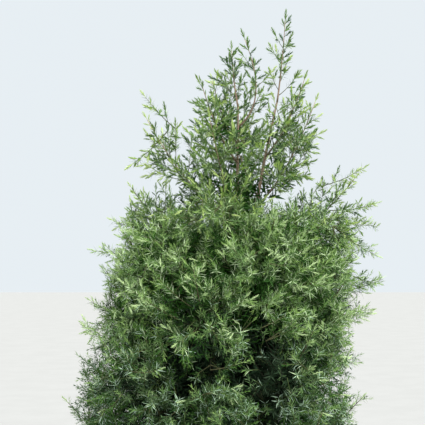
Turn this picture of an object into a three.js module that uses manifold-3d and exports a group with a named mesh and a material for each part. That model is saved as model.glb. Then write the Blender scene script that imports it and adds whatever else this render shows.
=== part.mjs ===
// A garden juniper of upright habit, growing in a plain round terracotta pot.
//
// The plant has one trunk that forks into two leaders. Ascending boughs stand round it in tiers, and each
// bough ends where its own mass of foliage begins. The low masses are dense and have a small core. The
// upper ones are open. Every mass keeps to the space nearer to its own stem than to any other.
//
// Millimetres, +Z up. The origin is the centre of the pot's flat underside, and the front faces -Y.

import * as THREE from "three";
import { mergeVertices } from "three/addons/utils/BufferGeometryUtils.js";
import Module from "manifold-3d";

const wasm = await Module();
wasm.setup();

// The clear gap kept between two pieces that rest on each other.
const GAP = 0.3;

// Pot
const POT_HEIGHT = 360;
const POT_BASE_RADIUS = 146;
const POT_NECK_RADIUS = 187;
const POT_RIM_RADIUS = 199;
const POT_RIM_BAND = 42;
const POT_WALL = 13;
const POT_FLOOR = 18;
const POT_EDGE = 5;
const POT_SIDES = 32;
const DRAIN_RADIUS = 9;
const DRAIN_CIRCLE_RADIUS = 78;
const DRAIN_COUNT = 4;

// Potting compost
const COMPOST_LEVEL = 330;
const COMPOST_DISH = 9;
const COMPOST_SEAT_RADIUS = 48;

// Trunk and leaders: a cubic curve each, from its foot to its tip
const TRUNK = {
  foot: new THREE.Vector3(0, 0, COMPOST_LEVEL - 6),
  knee: new THREE.Vector3(-10, -15, 700),
  shoulder: new THREE.Vector3(36, 8, 1200),
  tip: new THREE.Vector3(34, -4, 1600),
  footRadius: 19,
  tipRadius: 2.2,
  taper: 1.3,
  flare: 10,
  flareHeight: 24,
  sides: 10,
  steps: 14,
};
const RIGHT_LEADER = {
  foot: new THREE.Vector3(13, -1, 940),
  knee: new THREE.Vector3(50, 20, 1150),
  shoulder: new THREE.Vector3(86, 34, 1400),
  tip: new THREE.Vector3(138, 30, 1616),
  footRadius: 9,
  tipRadius: 2.2,
  taper: 1.1,
  flare: 3,
  flareHeight: 16,
  sides: 8,
  steps: 10,
};

// Tiers of boughs, from the pot up. root and tip are heights. left, right and depth are how far the tips
// reach from the pot's axis to either side and to front and back, and turn is the first bough's bearing.
const TIERS = [
  { name: "skirt", root: 450, tip: 640, left: 335, right: 330, depth: 325, count: 4, turn: 234, dense: true },
  { name: "low", root: 585, tip: 850, left: 452, right: 352, depth: 385, count: 4, turn: 176, dense: true },
  { name: "waist", root: 735, tip: 1042, left: 368, right: 372, depth: 372, count: 4, turn: 208, dense: true },
  { name: "middle", root: 875, tip: 1170, left: 338, right: 412, depth: 352, count: 5, turn: 184, dense: true },
  { name: "shoulder", root: 1025, tip: 1302, left: 294, right: 404, depth: 290, count: 4, turn: 197, dense: true },
  { name: "upper", root: 1175, tip: 1418, left: 250, right: 352, depth: 225, count: 4, turn: 178, dense: false },
  { name: "top", root: 1330, tip: 1600, left: 210, right: 242, depth: 165, count: 4, turn: 170, dense: false },
  { name: "peak", root: 1475, tip: 1700, left: 96, right: 222, depth: 110, count: 3, turn: 230, dense: false },
];

// Boughs
const BEARING_SWING = 9;
const TIP_SWING = 38;
const ROOT_RISE = 24;
const ROOT_SWING = 6;
const REACH_SWING = 0.06;
const LEADER_CLEAR = 110;
const KNEE_OUT = 0.56;
const KNEE_UP = 0.3;
const BOUGH_SHARE = 0.4;
const BOUGH_ROOT_SHARE = 0.46;
const BOUGH_END_RADIUS = 3.6;
const BOUGH_SIDES = 5;
const BOUGH_STEPS = 3;

// Foliage masses
const STEM_RADIUS = 3.2;
const STEM_TIP_RADIUS = 1.3;
const STEM_STEPS = 3;
const TWIG_RADIUS = 1.9;
const TWIG_TIP_RADIUS = 1.1;
const TWIG_SIDES = 3;
const TWIG_FITS = [1, 0.8, 0.62, 0.46, 0.32];
const SPACE_MARGIN = 4.5;
const OUTLINE_SLACK = 1.05;
const HEM_SHARE = 0.6;
const LIMB_CLEARANCE = 5;
const GOLDEN_ANGLE = 137.508;
const FAN_WIDTH = 1.25;
const FAN_HEIGHT = 0.8;
const TWIG_FORWARD = 0.75;
const TWIG_LIFT = 0.28;

// The masses' habits of growth. twigTaper and sprayTaper are how much of their length twigs and the sprays
// on them have lost at the tip of the stem.
const DENSE = {
  twigs: 4,
  twigLength: 170,
  twigTaper: 0.6,
  sprays: 1,
  sprayLength: 150,
  sprayTaper: 0,
  spread: 260,
  coreRadius: 84,
};
const OPEN = {
  twigs: 7,
  twigLength: 120,
  twigTaper: 0.6,
  sprays: 1,
  sprayLength: 90,
  sprayTaper: 0,
  spread: 180,
  coreRadius: 0,
};
const LEADER = {
  twigs: 7,
  twigLength: 62,
  twigTaper: 0.9,
  sprays: 0,
  sprayLength: 52,
  sprayTaper: 0.55,
  spread: 120,
  coreRadius: 0,
};

// A core's place along its stem, and its length, width and height against its radius. Sprays stand at
// the corners that face out of the crown, with their roots this share of the way in.
const CORE_SHARE = 0.42;
const CORE_LENGTH = 1;
const CORE_WIDTH = 1.5;
const CORE_HEIGHT = 0.9;
const CORE_SPRAY_SINK = 0.2;
const CORE_SPRAY_FACING = 0.04;

// A spray: a slim spindle with three fins of needles standing out. Its root is sunk SPRAY_SINK into its
// twig, and the places of its fins and grooves are shares of its length.
const SPRAY_SINK = 2;
const SPRAY_FINS = 3;
const SPRAY_FIN = { along: 0.66, out: 0.19 };
const SPRAY_GROOVE = { along: 0.45, out: 0.055 };
const SPRAY_ANGLE = 0.75;
const SPRAY_FITS = [1, 0.85, 0.7, 0.56, 0.44];
const TIP_SPRAY_SHARE = 0.9;

// The stems of the three leaders' tops
const LEADER_TOPS = [
  {
    name: "left_top",
    foot: TRUNK.tip,
    knee: new THREE.Vector3(20, -6, 1670),
    tip: new THREE.Vector3(17, -8, 1766),
  },
  {
    name: "middle_top",
    foot: new THREE.Vector3(34, 2, 1546),
    knee: new THREE.Vector3(122, -22, 1612),
    tip: new THREE.Vector3(44, -24, 1790),
    onTrunk: true,
  },
  {
    name: "right_top",
    foot: RIGHT_LEADER.tip,
    knee: new THREE.Vector3(152, 30, 1710),
    tip: new THREE.Vector3(161, 26, 1850),
  },
];

const UP = new THREE.Vector3(0, 0, 1);
const radians = THREE.MathUtils.degToRad;

const finish = (color, roughness) => new THREE.MeshStandardMaterial({ color, roughness, metalness: 0 });
const TERRACOTTA = finish("#b0704e", 0.85);
const COMPOST = finish("#3a2c22", 0.95);
const BARK = finish("#7a5b49", 0.9);
const DEEP_GREEN = finish("#3f6238", 0.7);
const FRESH_GREEN = finish("#6a8f45", 0.7);

// A repeatable number from 0 to 1 for any two whole numbers.
function scatter(i, k) {
  const s = Math.sin(i * 12.9898 + k * 78.233) * 43758.5453;
  return s - Math.floor(s);
}

// The same, from -1 to 1.
const swing = (i, k) => 2 * scatter(i, k) - 1;

// A closed geometry as a solid that can be joined and cut.
function solidOf(geometry) {
  const bare = geometry.clone();
  bare.deleteAttribute("normal");
  bare.deleteAttribute("uv");
  const merged = mergeVertices(bare, 1e-4);
  return new wasm.Manifold(
    new wasm.Mesh({
      numProp: 3,
      vertProperties: merged.attributes.position.array,
      triVerts: new Uint32Array(merged.index.array),
    }),
  );
}

// A solid as a named mesh.
function meshOf(name, solid, material) {
  const data = solid.getMesh();
  const geometry = new THREE.BufferGeometry();
  geometry.setAttribute("position", new THREE.BufferAttribute(new Float32Array(data.vertProperties), 3));
  geometry.setIndex(new THREE.BufferAttribute(new Uint32Array(data.triVerts), 1));
  geometry.computeVertexNormals();
  const mesh = new THREE.Mesh(geometry, material);
  mesh.name = name;
  return mesh;
}

// A limb: a closed cylinder bent along a curve, with its radius a function of the share of its length.
// radiusAt also gets the bearing round the limb, so that a root flare can have lobes.
function limb(curve, radiusAt, sides, steps) {
  const geometry = new THREE.CylinderGeometry(1, 1, 1, sides, steps);
  const frames = curve.computeFrenetFrames(steps);
  const place = geometry.attributes.position;
  for (let v = 0; v < place.count; v++) {
    const share = place.getY(v) + 0.5;
    const station = Math.round(share * steps);
    const across = place.getX(v);
    const along = place.getZ(v);
    const radius = radiusAt(share, Math.atan2(along, across));
    const point = curve
      .getPointAt(share)
      .addScaledVector(frames.normals[station], -across * radius)
      .addScaledVector(frames.binormals[station], along * radius);
    place.setXYZ(v, point.x, point.y, point.z);
  }
  return solidOf(geometry);
}

// The pot: a turned wall, floor and plain rim band, with drain holes through the floor.
function pot() {
  const band = POT_HEIGHT - POT_RIM_BAND;
  const profile = [
    [0, 0],
    [POT_BASE_RADIUS - POT_EDGE, 0],
    [POT_BASE_RADIUS, POT_EDGE],
    [POT_NECK_RADIUS, band - POT_EDGE],
    [POT_RIM_RADIUS, band + POT_EDGE],
    [POT_RIM_RADIUS + 1, POT_HEIGHT - 2 * POT_EDGE],
    [POT_RIM_RADIUS - POT_EDGE, POT_HEIGHT],
    [POT_RIM_RADIUS - 3 * POT_EDGE, POT_HEIGHT],
    [innerRadius(POT_HEIGHT - POT_EDGE), POT_HEIGHT - POT_EDGE],
    [innerRadius(POT_FLOOR), POT_FLOOR],
    [0, POT_FLOOR],
  ].map(([radius, height]) => new THREE.Vector2(radius, height));
  let solid = turned(profile);
  for (let k = 0; k < DRAIN_COUNT; k++) {
    const bearing = ((k + 0.5) / DRAIN_COUNT) * 2 * Math.PI;
    const drill = new THREE.CylinderGeometry(DRAIN_RADIUS, DRAIN_RADIUS, 3 * POT_FLOOR, 12);
    drill.rotateX(Math.PI / 2);
    drill.translate(DRAIN_CIRCLE_RADIUS * Math.cos(bearing), DRAIN_CIRCLE_RADIUS * Math.sin(bearing), 0);
    solid = solid.subtract(solidOf(drill));
  }
  return solid;
}

// The radius of the pot's inner wall at a height.
function innerRadius(height) {
  const share = (height - POT_EDGE) / (POT_HEIGHT - POT_RIM_BAND - 2 * POT_EDGE);
  return POT_BASE_RADIUS + share * (POT_NECK_RADIUS - POT_BASE_RADIUS) - POT_WALL;
}

// A profile turned about +Z. LatheGeometry turns about its own Y, which is laid over to Z here.
function turned(profile) {
  const geometry = new THREE.LatheGeometry(profile, POT_SIDES);
  geometry.rotateX(Math.PI / 2);
  return solidOf(geometry);
}

// The compost fills the pot to below its rim, dished round a level seat for the trunk.
function compost() {
  const floor = POT_FLOOR + GAP;
  const edge = COMPOST_LEVEL - COMPOST_DISH;
  const profile = [
    [0, floor],
    [innerRadius(floor) - GAP, floor],
    [innerRadius(edge) - GAP, edge],
    [0.62 * POT_BASE_RADIUS, COMPOST_LEVEL - 0.3 * COMPOST_DISH],
    [COMPOST_SEAT_RADIUS, COMPOST_LEVEL],
    [0, COMPOST_LEVEL],
  ].map(([radius, height]) => new THREE.Vector2(radius, height));
  return turned(profile);
}

// The trunk or a leader: its curve, its radius by height, and its solid. grow makes a fatter copy to cut with.
function stemCurve(stem) {
  return new THREE.CubicBezierCurve3(stem.foot, stem.knee, stem.shoulder, stem.tip);
}

function stemRadius(stem, share) {
  const climbed = share * stemCurve(stem).getLength();
  const flare = stem.flare * Math.exp(-climbed / stem.flareHeight);
  return stem.tipRadius + (stem.footRadius - stem.tipRadius) * (1 - share) ** stem.taper + flare;
}

function stemSolid(stem, grow) {
  const lobes = 5;
  const radiusAt = (share, bearing) => {
    const lobe = 0.12 * Math.cos(lobes * bearing) * Math.exp((-share * 1400) / stem.flareHeight);
    return stemRadius(stem, share) * (1 + lobe) + grow;
  };
  return limb(stemCurve(stem), radiusAt, stem.sides, stem.steps);
}

// The point of a stem's centreline at a height, found by halving.
function stemAt(stem, height) {
  const curve = stemCurve(stem);
  let low = 0;
  let high = 1;
  for (let k = 0; k < 24; k++) {
    const middle = (low + high) / 2;
    if (curve.getPointAt(middle).z < height) low = middle;
    else high = middle;
  }
  return { point: curve.getPointAt(low), radius: stemRadius(stem, low) };
}

// How far a tier reaches at a bearing: an ellipse whose left and right halves differ.
function reachAt(tier, bearing) {
  const side = Math.cos(bearing) > 0 ? tier.right : tier.left;
  return 1 / Math.hypot(Math.cos(bearing) / side, Math.sin(bearing) / tier.depth);
}

// How far the crown reaches at a height and bearing: the tiers' own reaches where their tips are, and
// between them in between. Below the first tier it draws in towards the pot.
function crownReach(height, bearing) {
  const above = TIERS.findIndex((tier) => tier.tip > height);
  if (above < 0) return reachAt(TIERS.at(-1), bearing);
  const upper = reachAt(TIERS[above], bearing);
  const lower = above ? reachAt(TIERS[above - 1], bearing) : HEM_SHARE * upper;
  const base = above ? TIERS[above - 1].tip : POT_HEIGHT;
  return THREE.MathUtils.mapLinear(height, base, TIERS[above].tip, lower, upper);
}

// The whole line of one bough and its foliage, from the stem that carries it to its furthest tip.
function boughLine(tier, tierIndex, i) {
  const id = 10 * tierIndex + i;
  const bearing = radians(tier.turn + (360 * i) / tier.count + BEARING_SWING * swing(id, 1));
  const reach = reachAt(tier, bearing) * (1 + REACH_SWING * swing(id, 2));
  const tip = new THREE.Vector3(
    reach * Math.cos(bearing),
    reach * Math.sin(bearing),
    tier.tip + TIP_SWING * swing(id, 3),
  );
  const rootHeight = tier.root + ROOT_RISE * (i - (tier.count - 1) / 2) + ROOT_SWING * swing(id, 4);
  const forked = rootHeight > RIGHT_LEADER.foot.z + LEADER_CLEAR;
  const carriers = (forked ? [TRUNK, RIGHT_LEADER] : [TRUNK])
    .map((stem) => ({ stem, ...stemAt(stem, rootHeight) }))
    .sort((a, b) => a.point.distanceTo(tip) - b.point.distanceTo(tip));
  const { stem, point, radius } = carriers[0];
  const knee = point.clone().lerp(tip, KNEE_OUT);
  knee.z = THREE.MathUtils.lerp(point.z, tip.z, KNEE_UP);
  return { id, stem, radius, curve: new THREE.QuadraticBezierCurve3(point, knee, tip) };
}

// A part of a curve, from one share of its length to another, as a row of equal straight steps.
class PartCurve extends THREE.Curve {
  constructor(whole, from, to, steps) {
    super();
    this.points = [];
    for (let k = 0; k <= steps; k++) {
      this.points.push(whole.getPointAt(THREE.MathUtils.lerp(from, to, k / steps)));
    }
  }

  getPoint(share, target = new THREE.Vector3()) {
    const steps = this.points.length - 1;
    const k = Math.min(Math.floor(share * steps), steps - 1);
    return target.lerpVectors(this.points[k], this.points[k + 1], share * steps - k);
  }
}

// The way ahead on a curve, the way to its left, and the way up from it.
function bearingsAt(curve, share) {
  const ahead = curve.getTangentAt(share);
  const across = new THREE.Vector3().crossVectors(UP, ahead).normalize();
  return { ahead, across, above: new THREE.Vector3().crossVectors(ahead, across) };
}

// The middle of a curve as a row of straight stretches, to measure distances from.
function stretches(curve, count) {
  const points = curve.getSpacedPoints(count);
  return points.slice(1).map((end, k) => new THREE.Line3(points[k], end));
}

const nearest = new THREE.Vector3();

function distanceTo(lines, point) {
  return Math.min(...lines.map((line) => line.closestPointToPoint(point, true, nearest).distanceTo(point)));
}

// True if a point lies in a mass's own space: within its spread and the crown's outline, nearer to its
// stem than to any other mass's stem, and clear of every limb.
function inSpace(mass, point, masses, limbs) {
  const own = distanceTo(mass.lines, point);
  if (own > mass.habit.spread || point.z < POT_HEIGHT + LIMB_CLEARANCE) return false;
  const reach = crownReach(point.z, Math.atan2(point.y, point.x));
  if (Math.hypot(point.x, point.y) > OUTLINE_SLACK * reach) return false;
  const crowded = masses.some(
    (other) => other !== mass && distanceTo(other.lines, point) < own + 2 * SPACE_MARGIN,
  );
  return !crowded && limbs.every((other) => distanceTo(other.lines, point) > other.radius + LIMB_CLEARANCE);
}

// The corners of a spray in world space: its root, which lies inside its twig, its tip, and a ring of fin
// tips and grooves in turn.
function sprayPoints(root, direction, side, length) {
  const other = new THREE.Vector3().crossVectors(direction, side);
  const at = (along, out, turn) =>
    root
      .clone()
      .addScaledVector(direction, along * length - SPRAY_SINK)
      .addScaledVector(side, out * length * Math.cos(turn))
      .addScaledVector(other, out * length * Math.sin(turn));
  const ring = [];
  for (let k = 0; k < 2 * SPRAY_FINS; k++) {
    const { along, out } = k % 2 ? SPRAY_GROOVE : SPRAY_FIN;
    ring.push(at(along, out, (Math.PI * k) / SPRAY_FINS));
  }
  return { base: at(0, 0, 0), tip: at(1, 0, 0), ring };
}

// The spray: its ring is joined to the root behind it and the tip in front of it.
function spraySolid({ base, tip, ring }) {
  const corners = [];
  ring.forEach((point, k) => {
    const next = ring[(k + 1) % ring.length];
    corners.push(next, point, base, point, next, tip);
  });
  return solidOf(new THREE.BufferGeometry().setFromPoints(corners));
}

// The twigs of a mass stand round its stem by the golden angle, wider to the sides than up and down, and
// shorten towards its tip. Each is straight, and leans forward and up.
function twigAlong(mass, k) {
  const { habit, curve, id } = mass;
  const share = (k + 0.35 + 0.5 * scatter(id, 20 + k)) / (habit.twigs + 0.6);
  const start = curve.getPointAt(share);
  const { ahead, across, above } = bearingsAt(curve, share);
  const roll = radians(GOLDEN_ANGLE * k + 360 * scatter(id, 5));
  const heading = ahead
    .multiplyScalar(TWIG_FORWARD)
    .addScaledVector(across, FAN_WIDTH * Math.cos(roll))
    .addScaledVector(above, FAN_HEIGHT * Math.sin(roll))
    .normalize();
  const length = habit.twigLength * (1 - habit.twigTaper * share) * (0.85 + 0.3 * scatter(id, 40 + k));
  const twigOf = (fit) => {
    const end = start.clone().addScaledVector(heading, fit * length);
    end.z += TWIG_LIFT * fit * length;
    return new THREE.LineCurve3(start, end);
  };
  return { twigOf, sprayLength: habit.sprayLength * (1 - habit.sprayTaper * share) };
}

// The places of the sprays on a twig: one at its tip and the rest in turn to either side behind it.
function spraysOn(curve, count, sprayLength, id) {
  const sprays = [];
  for (let k = 0; k <= count; k++) {
    const share = k === 0 ? 1 : 1 - (0.3 * k - 0.08 * scatter(id, 60 + k));
    const { ahead, across, above } = bearingsAt(curve, share);
    const roll = 2 * Math.PI * scatter(id, 70 + k);
    const turn = k === 0 ? 0 : k % 2 ? SPRAY_ANGLE : -SPRAY_ANGLE;
    const out = across.clone().multiplyScalar(Math.sign(turn)).addScaledVector(above, 0.6 * Math.sin(roll));
    const direction = ahead.clone().addScaledVector(out, Math.abs(turn)).normalize();
    const side = new THREE.Vector3().crossVectors(direction, above).applyAxisAngle(direction, 0.7 * roll);
    const length = sprayLength * (0.82 + 0.36 * scatter(id, 80 + k));
    const root = curve.getPointAt(share);
    side.normalize();
    sprays.push((fit) => sprayPoints(root, direction, side, fit * length));
  }
  return sprays;
}

// The small core of a dense mass: a rough ball drawn out along the stem, each of its points pulled in
// until it lies in the mass's own space.
function coreSolid(mass, masses, limbs) {
  const geometry = new THREE.OctahedronGeometry(1, 1);
  const merged = mergeVertices(geometry.deleteAttribute("normal").deleteAttribute("uv"), 1e-4);
  const centre = mass.curve.getPointAt(CORE_SHARE);
  const { ahead, across, above } = bearingsAt(mass.curve, CORE_SHARE);
  const place = merged.attributes.position;
  const corners = [];
  for (let v = 0; v < place.count; v++) {
    const ray = new THREE.Vector3()
      .addScaledVector(ahead, CORE_LENGTH * place.getX(v))
      .addScaledVector(across, CORE_WIDTH * place.getY(v))
      .addScaledVector(above, CORE_HEIGHT * place.getZ(v))
      .multiplyScalar(mass.habit.coreRadius * (0.8 + 0.35 * scatter(mass.id, 100 + v)));
    let fit = 1;
    while (fit > 0.1 && !inSpace(mass, centre.clone().addScaledVector(ray, fit + 0.12), masses, limbs)) {
      fit -= 0.1;
    }
    ray.multiplyScalar(Math.max(fit, 0.1));
    centre.clone().add(ray).toArray(place.array, 3 * v);
    if (ray.clone().normalize().dot(ahead) > CORE_SPRAY_FACING) {
      corners.push({ root: centre.clone().addScaledVector(ray, 1 - CORE_SPRAY_SINK), ray });
    }
  }
  return { core: solidOf(merged), corners };
}

// The sprays at a core's corners stand out from it, and lean a little along the stem and up.
function coreSprays(mass, corners) {
  const { ahead } = bearingsAt(mass.curve, CORE_SHARE);
  return corners.map(({ root, ray }, k) => {
    const direction = ray.clone().normalize().addScaledVector(ahead, 0.5).addScaledVector(UP, 0.3).normalize();
    const side = new THREE.Vector3().crossVectors(direction, UP).normalize();
    side.applyAxisAngle(direction, 1.2 * swing(mass.id, 120 + k));
    const length = mass.habit.sprayLength * (0.85 + 0.3 * scatter(mass.id, 140 + k));
    return (fit) => sprayPoints(root, direction, side, fit * length);
  });
}

// The longest form of a spray that keeps to its mass's space, if any does.
function fitted(sprayOf, fits) {
  return SPRAY_FITS.map(sprayOf).find(({ tip, ring }) => fits([tip, ...ring]));
}

// One mass of foliage, fused: its stem, the twigs that stay in its space, and their sprays. A twig with no
// room for a spray at its tip is left off.
function massSolid(mass, masses, limbs) {
  const { curve, habit, id } = mass;
  const stemAtShare = (share) => THREE.MathUtils.lerp(STEM_RADIUS, STEM_TIP_RADIUS, share);
  const twigAtShare = (share) => THREE.MathUtils.lerp(TWIG_RADIUS, TWIG_TIP_RADIUS, share);
  const fits = (points) => points.every((point) => inSpace(mass, point, masses, limbs));
  const solids = [limb(curve, stemAtShare, TWIG_SIDES, STEM_STEPS)];
  const sprays = spraysOn(curve, habit.sprays, habit.sprayLength, 7 * id).map((sprayOf) => fitted(sprayOf, fits));
  if (habit.coreRadius > 0) {
    const { core, corners } = coreSolid(mass, masses, limbs);
    solids.push(core);
    sprays.push(...coreSprays(mass, corners).map((sprayOf) => fitted(sprayOf, fits)));
  }
  for (let k = 0; k < habit.twigs; k++) {
    const { twigOf, sprayLength } = twigAlong(mass, k);
    const fit = TWIG_FITS.find((share) => fits(twigOf(share).getSpacedPoints(4).slice(2)));
    if (!fit) continue;
    const twig = twigOf(fit);
    const own = spraysOn(twig, habit.sprays, sprayLength, 7 * id + k + 1).map((sprayOf) => fitted(sprayOf, fits));
    if (!own[0]) continue;
    solids.push(limb(twig, twigAtShare, TWIG_SIDES, 1));
    sprays.push(...own);
  }
  solids.push(...sprays.filter(Boolean).map(spraySolid));
  return solids.reduce((fused, solid) => fused.add(solid));
}

// A solid cut clear of every cutter that its box meets, without the scraps that a cut leaves.
function clearOf(cutters, solid) {
  const box = boxOf(solid);
  const met = cutters.filter((cutter) => boxOf(cutter).intersectsBox(box));
  const rest = met.reduce((left, cutter) => left.subtract(cutter), solid);
  return rest.decompose().sort((a, b) => b.volume() - a.volume())[0];
}

function boxOf(solid) {
  const { min, max } = solid.boundingBox();
  return new THREE.Box3(new THREE.Vector3(...min), new THREE.Vector3(...max));
}

// A bough's solid. grow makes a fatter copy to cut with.
function boughSolid(bough, grow) {
  const rootRadius = Math.max(BOUGH_ROOT_SHARE * bough.radius, BOUGH_END_RADIUS + 0.6);
  const radiusAt = (share) => THREE.MathUtils.lerp(rootRadius, BOUGH_END_RADIUS, share ** 0.7) + grow;
  return limb(bough.curve, radiusAt, BOUGH_SIDES, BOUGH_STEPS);
}

// Every bough and mass of the crown: where it runs, what carries it and how it grows.
function layOutCrown() {
  const boughs = [];
  const masses = [];
  TIERS.forEach((tier, tierIndex) => {
    for (let i = 0; i < tier.count; i++) {
      const line = boughLine(tier, tierIndex, i);
      const label = `${tier.name}_${i + 1}`;
      const habit = tier.dense ? DENSE : OPEN;
      if (tier.dense) {
        const curve = new PartCurve(line.curve, 0, BOUGH_SHARE, BOUGH_STEPS);
        boughs.push({ ...line, name: `bough_${label}`, curve });
      }
      const length = line.curve.getLength();
      const from = tier.dense ? BOUGH_SHARE + GAP / length : 0;
      const to = 1 - (TIP_SPRAY_SHARE * habit.sprayLength) / length;
      const curve = new PartCurve(line.curve, from, to, STEM_STEPS);
      masses.push({ name: `foliage_${label}`, id: line.id, curve, habit });
    }
  });
  LEADER_TOPS.forEach((top, k) => {
    const whole = new THREE.QuadraticBezierCurve3(top.foot, top.knee, top.tip);
    const length = whole.getLength();
    const from = top.onTrunk ? 0 : GAP / length;
    const to = 1 - (TIP_SPRAY_SHARE * LEADER.sprayLength) / length;
    const curve = new PartCurve(whole, from, to, STEM_STEPS);
    masses.push({ name: `foliage_${top.name}`, id: 90 + k, curve, habit: LEADER });
  });
  return { boughs, masses };
}

const { boughs, masses } = layOutCrown();
for (const mass of masses) mass.lines = stretches(mass.curve, 5);
const stemStretches = (stem) =>
  stretches(stemCurve(stem), stem.steps).map((line, k) => ({
    lines: [line],
    radius: stemRadius(stem, k / stem.steps),
  }));
const limbs = [
  ...stemStretches(TRUNK),
  ...stemStretches(RIGHT_LEADER),
  ...boughs.map((bough) => ({ lines: stretches(bough.curve, 4), radius: BOUGH_ROOT_SHARE * bough.radius })),
];

const juniper = new THREE.Group();
juniper.name = "potted_juniper";
juniper.add(meshOf("pot", pot(), TERRACOTTA), meshOf("compost", compost(), COMPOST));

const stemCutters = [stemSolid(TRUNK, GAP), stemSolid(RIGHT_LEADER, GAP)];
const limbCutters = [...stemCutters, ...boughs.map((bough) => boughSolid(bough, GAP))];

const trunk = stemSolid(TRUNK, 0).trimByPlane([0, 0, 1], COMPOST_LEVEL + GAP);
juniper.add(meshOf("trunk", trunk, BARK));
juniper.add(meshOf("right_leader", clearOf([stemCutters[0]], stemSolid(RIGHT_LEADER, 0)), BARK));
for (const bough of boughs) juniper.add(meshOf(bough.name, clearOf(stemCutters, boughSolid(bough, 0)), BARK));
for (const mass of masses) {
  const solid = clearOf(limbCutters, massSolid(mass, masses, limbs));
  juniper.add(meshOf(mass.name, solid, mass.habit === DENSE ? DEEP_GREEN : FRESH_GREEN));
}

export default juniper;
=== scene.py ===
"""A garden juniper of upright habit in a plain terracotta pot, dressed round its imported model.

The bark, boughs, twigs and needles grow by the same rule as the solids that they stand for, from the same
named sizes, and are carried on to finer twigs within the same reach. Sizes of the growth rule are in
millimetres, and every mesh is put down in metres.
"""

import math
from collections import namedtuple

import bpy
import numpy as np
from bpy.props import FloatProperty, FloatVectorProperty, IntProperty, PointerProperty
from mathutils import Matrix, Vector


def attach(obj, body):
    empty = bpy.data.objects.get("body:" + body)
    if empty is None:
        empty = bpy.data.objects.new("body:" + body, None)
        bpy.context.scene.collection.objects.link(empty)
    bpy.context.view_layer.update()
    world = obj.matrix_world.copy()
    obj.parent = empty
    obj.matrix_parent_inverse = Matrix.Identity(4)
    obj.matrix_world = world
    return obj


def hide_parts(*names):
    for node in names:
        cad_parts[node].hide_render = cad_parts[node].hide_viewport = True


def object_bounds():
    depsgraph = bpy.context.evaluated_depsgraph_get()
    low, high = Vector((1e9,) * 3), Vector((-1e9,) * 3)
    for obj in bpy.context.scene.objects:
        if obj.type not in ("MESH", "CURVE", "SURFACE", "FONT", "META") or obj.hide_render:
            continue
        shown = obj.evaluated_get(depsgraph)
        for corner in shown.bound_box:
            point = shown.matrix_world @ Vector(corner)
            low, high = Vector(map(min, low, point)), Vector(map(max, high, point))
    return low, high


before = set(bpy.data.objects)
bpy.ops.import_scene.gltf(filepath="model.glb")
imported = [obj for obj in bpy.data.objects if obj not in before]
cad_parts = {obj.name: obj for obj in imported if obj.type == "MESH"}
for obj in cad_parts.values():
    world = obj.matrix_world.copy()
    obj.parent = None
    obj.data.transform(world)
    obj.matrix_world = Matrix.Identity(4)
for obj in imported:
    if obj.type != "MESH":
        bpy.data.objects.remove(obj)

CAD_BOX = [list(corner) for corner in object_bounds()]

bl_info = {
    "name": "Potted juniper",
    "version": (1, 0, 0),
    "blender": (4, 5, 0),
    "location": "View3D > Sidebar > Juniper",
    "description": "Bark, twigs, needles, compost, pot and studio for a potted garden juniper",
    "category": "Add Mesh",
}

MM = 0.001
UP = np.array([0.0, 0.0, 1.0])
TURN = 2 * math.pi
GOLDEN_ANGLE = math.radians(137.508)

# Pot and compost, as in the solids
POT_HEIGHT, POT_BASE_RADIUS, POT_NECK_RADIUS, POT_RIM_RADIUS = 360, 146, 187, 199
POT_RIM_BAND, POT_WALL, POT_FLOOR, POT_EDGE = 42, 13, 18, 5
DRAIN_COUNT, DRAIN_RADIUS, DRAIN_CIRCLE_RADIUS = 4, 9, 78
COMPOST_LEVEL, COMPOST_DISH, COMPOST_GAP = 330, 9, 0.3
COMPOST_FLAT = 48  # the compost is level within this radius
COMPOST_FALL = ([COMPOST_FLAT, 90, 172], [0, 2.7, 8.6])  # how far its top lies lower further out
RING_WAVES = ((0.31, 0, 0.6), (0.12, 1, 0.8))  # the throwing rings' waves: steepness, start and share

# Bark chips on the compost: the ring they lie in, their half lengths, and their shape
CHIP_RING, CHIP_SIZES = (34, 168), (3.0, 8.5)
CHIP_CORNERS = [
    (-1, 0, 0), (-0.4, -0.5, 0.2), (0.5, -0.4, 0.25), (1, 0.1, 0), (0.4, 0.5, 0.2), (-0.5, 0.4, 0.25),
    (0, 0, -0.3),
]
CHIP_FACES = [
    (0, 1, 5), (1, 2, 5), (2, 4, 5), (2, 3, 4), (0, 6, 1),
    (1, 6, 2), (2, 6, 3), (3, 6, 4), (4, 6, 5), (5, 6, 0),
]

# Trunk and leaders, as in the solids
Stem = namedtuple("Stem", "controls foot_radius tip_radius taper flare flare_height")
TRUNK = Stem([(0, 0, 324), (-10, -15, 700), (36, 8, 1200), (34, -4, 1600)], 19, 2.2, 1.3, 10, 24)
RIGHT_LEADER = Stem([(13, -1, 940), (50, 20, 1150), (86, 34, 1400), (138, 30, 1616)], 9, 2.2, 1.1, 3, 16)
LEADER_TOPS = [
    ("left_top", [(34, -4, 1600), (20, -6, 1670), (17, -8, 1766)]),
    ("middle_top", [(34, 2, 1546), (122, -22, 1612), (44, -24, 1790)]),
    ("right_top", [(138, 30, 1616), (152, 30, 1710), (161, 26, 1850)]),
]

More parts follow.
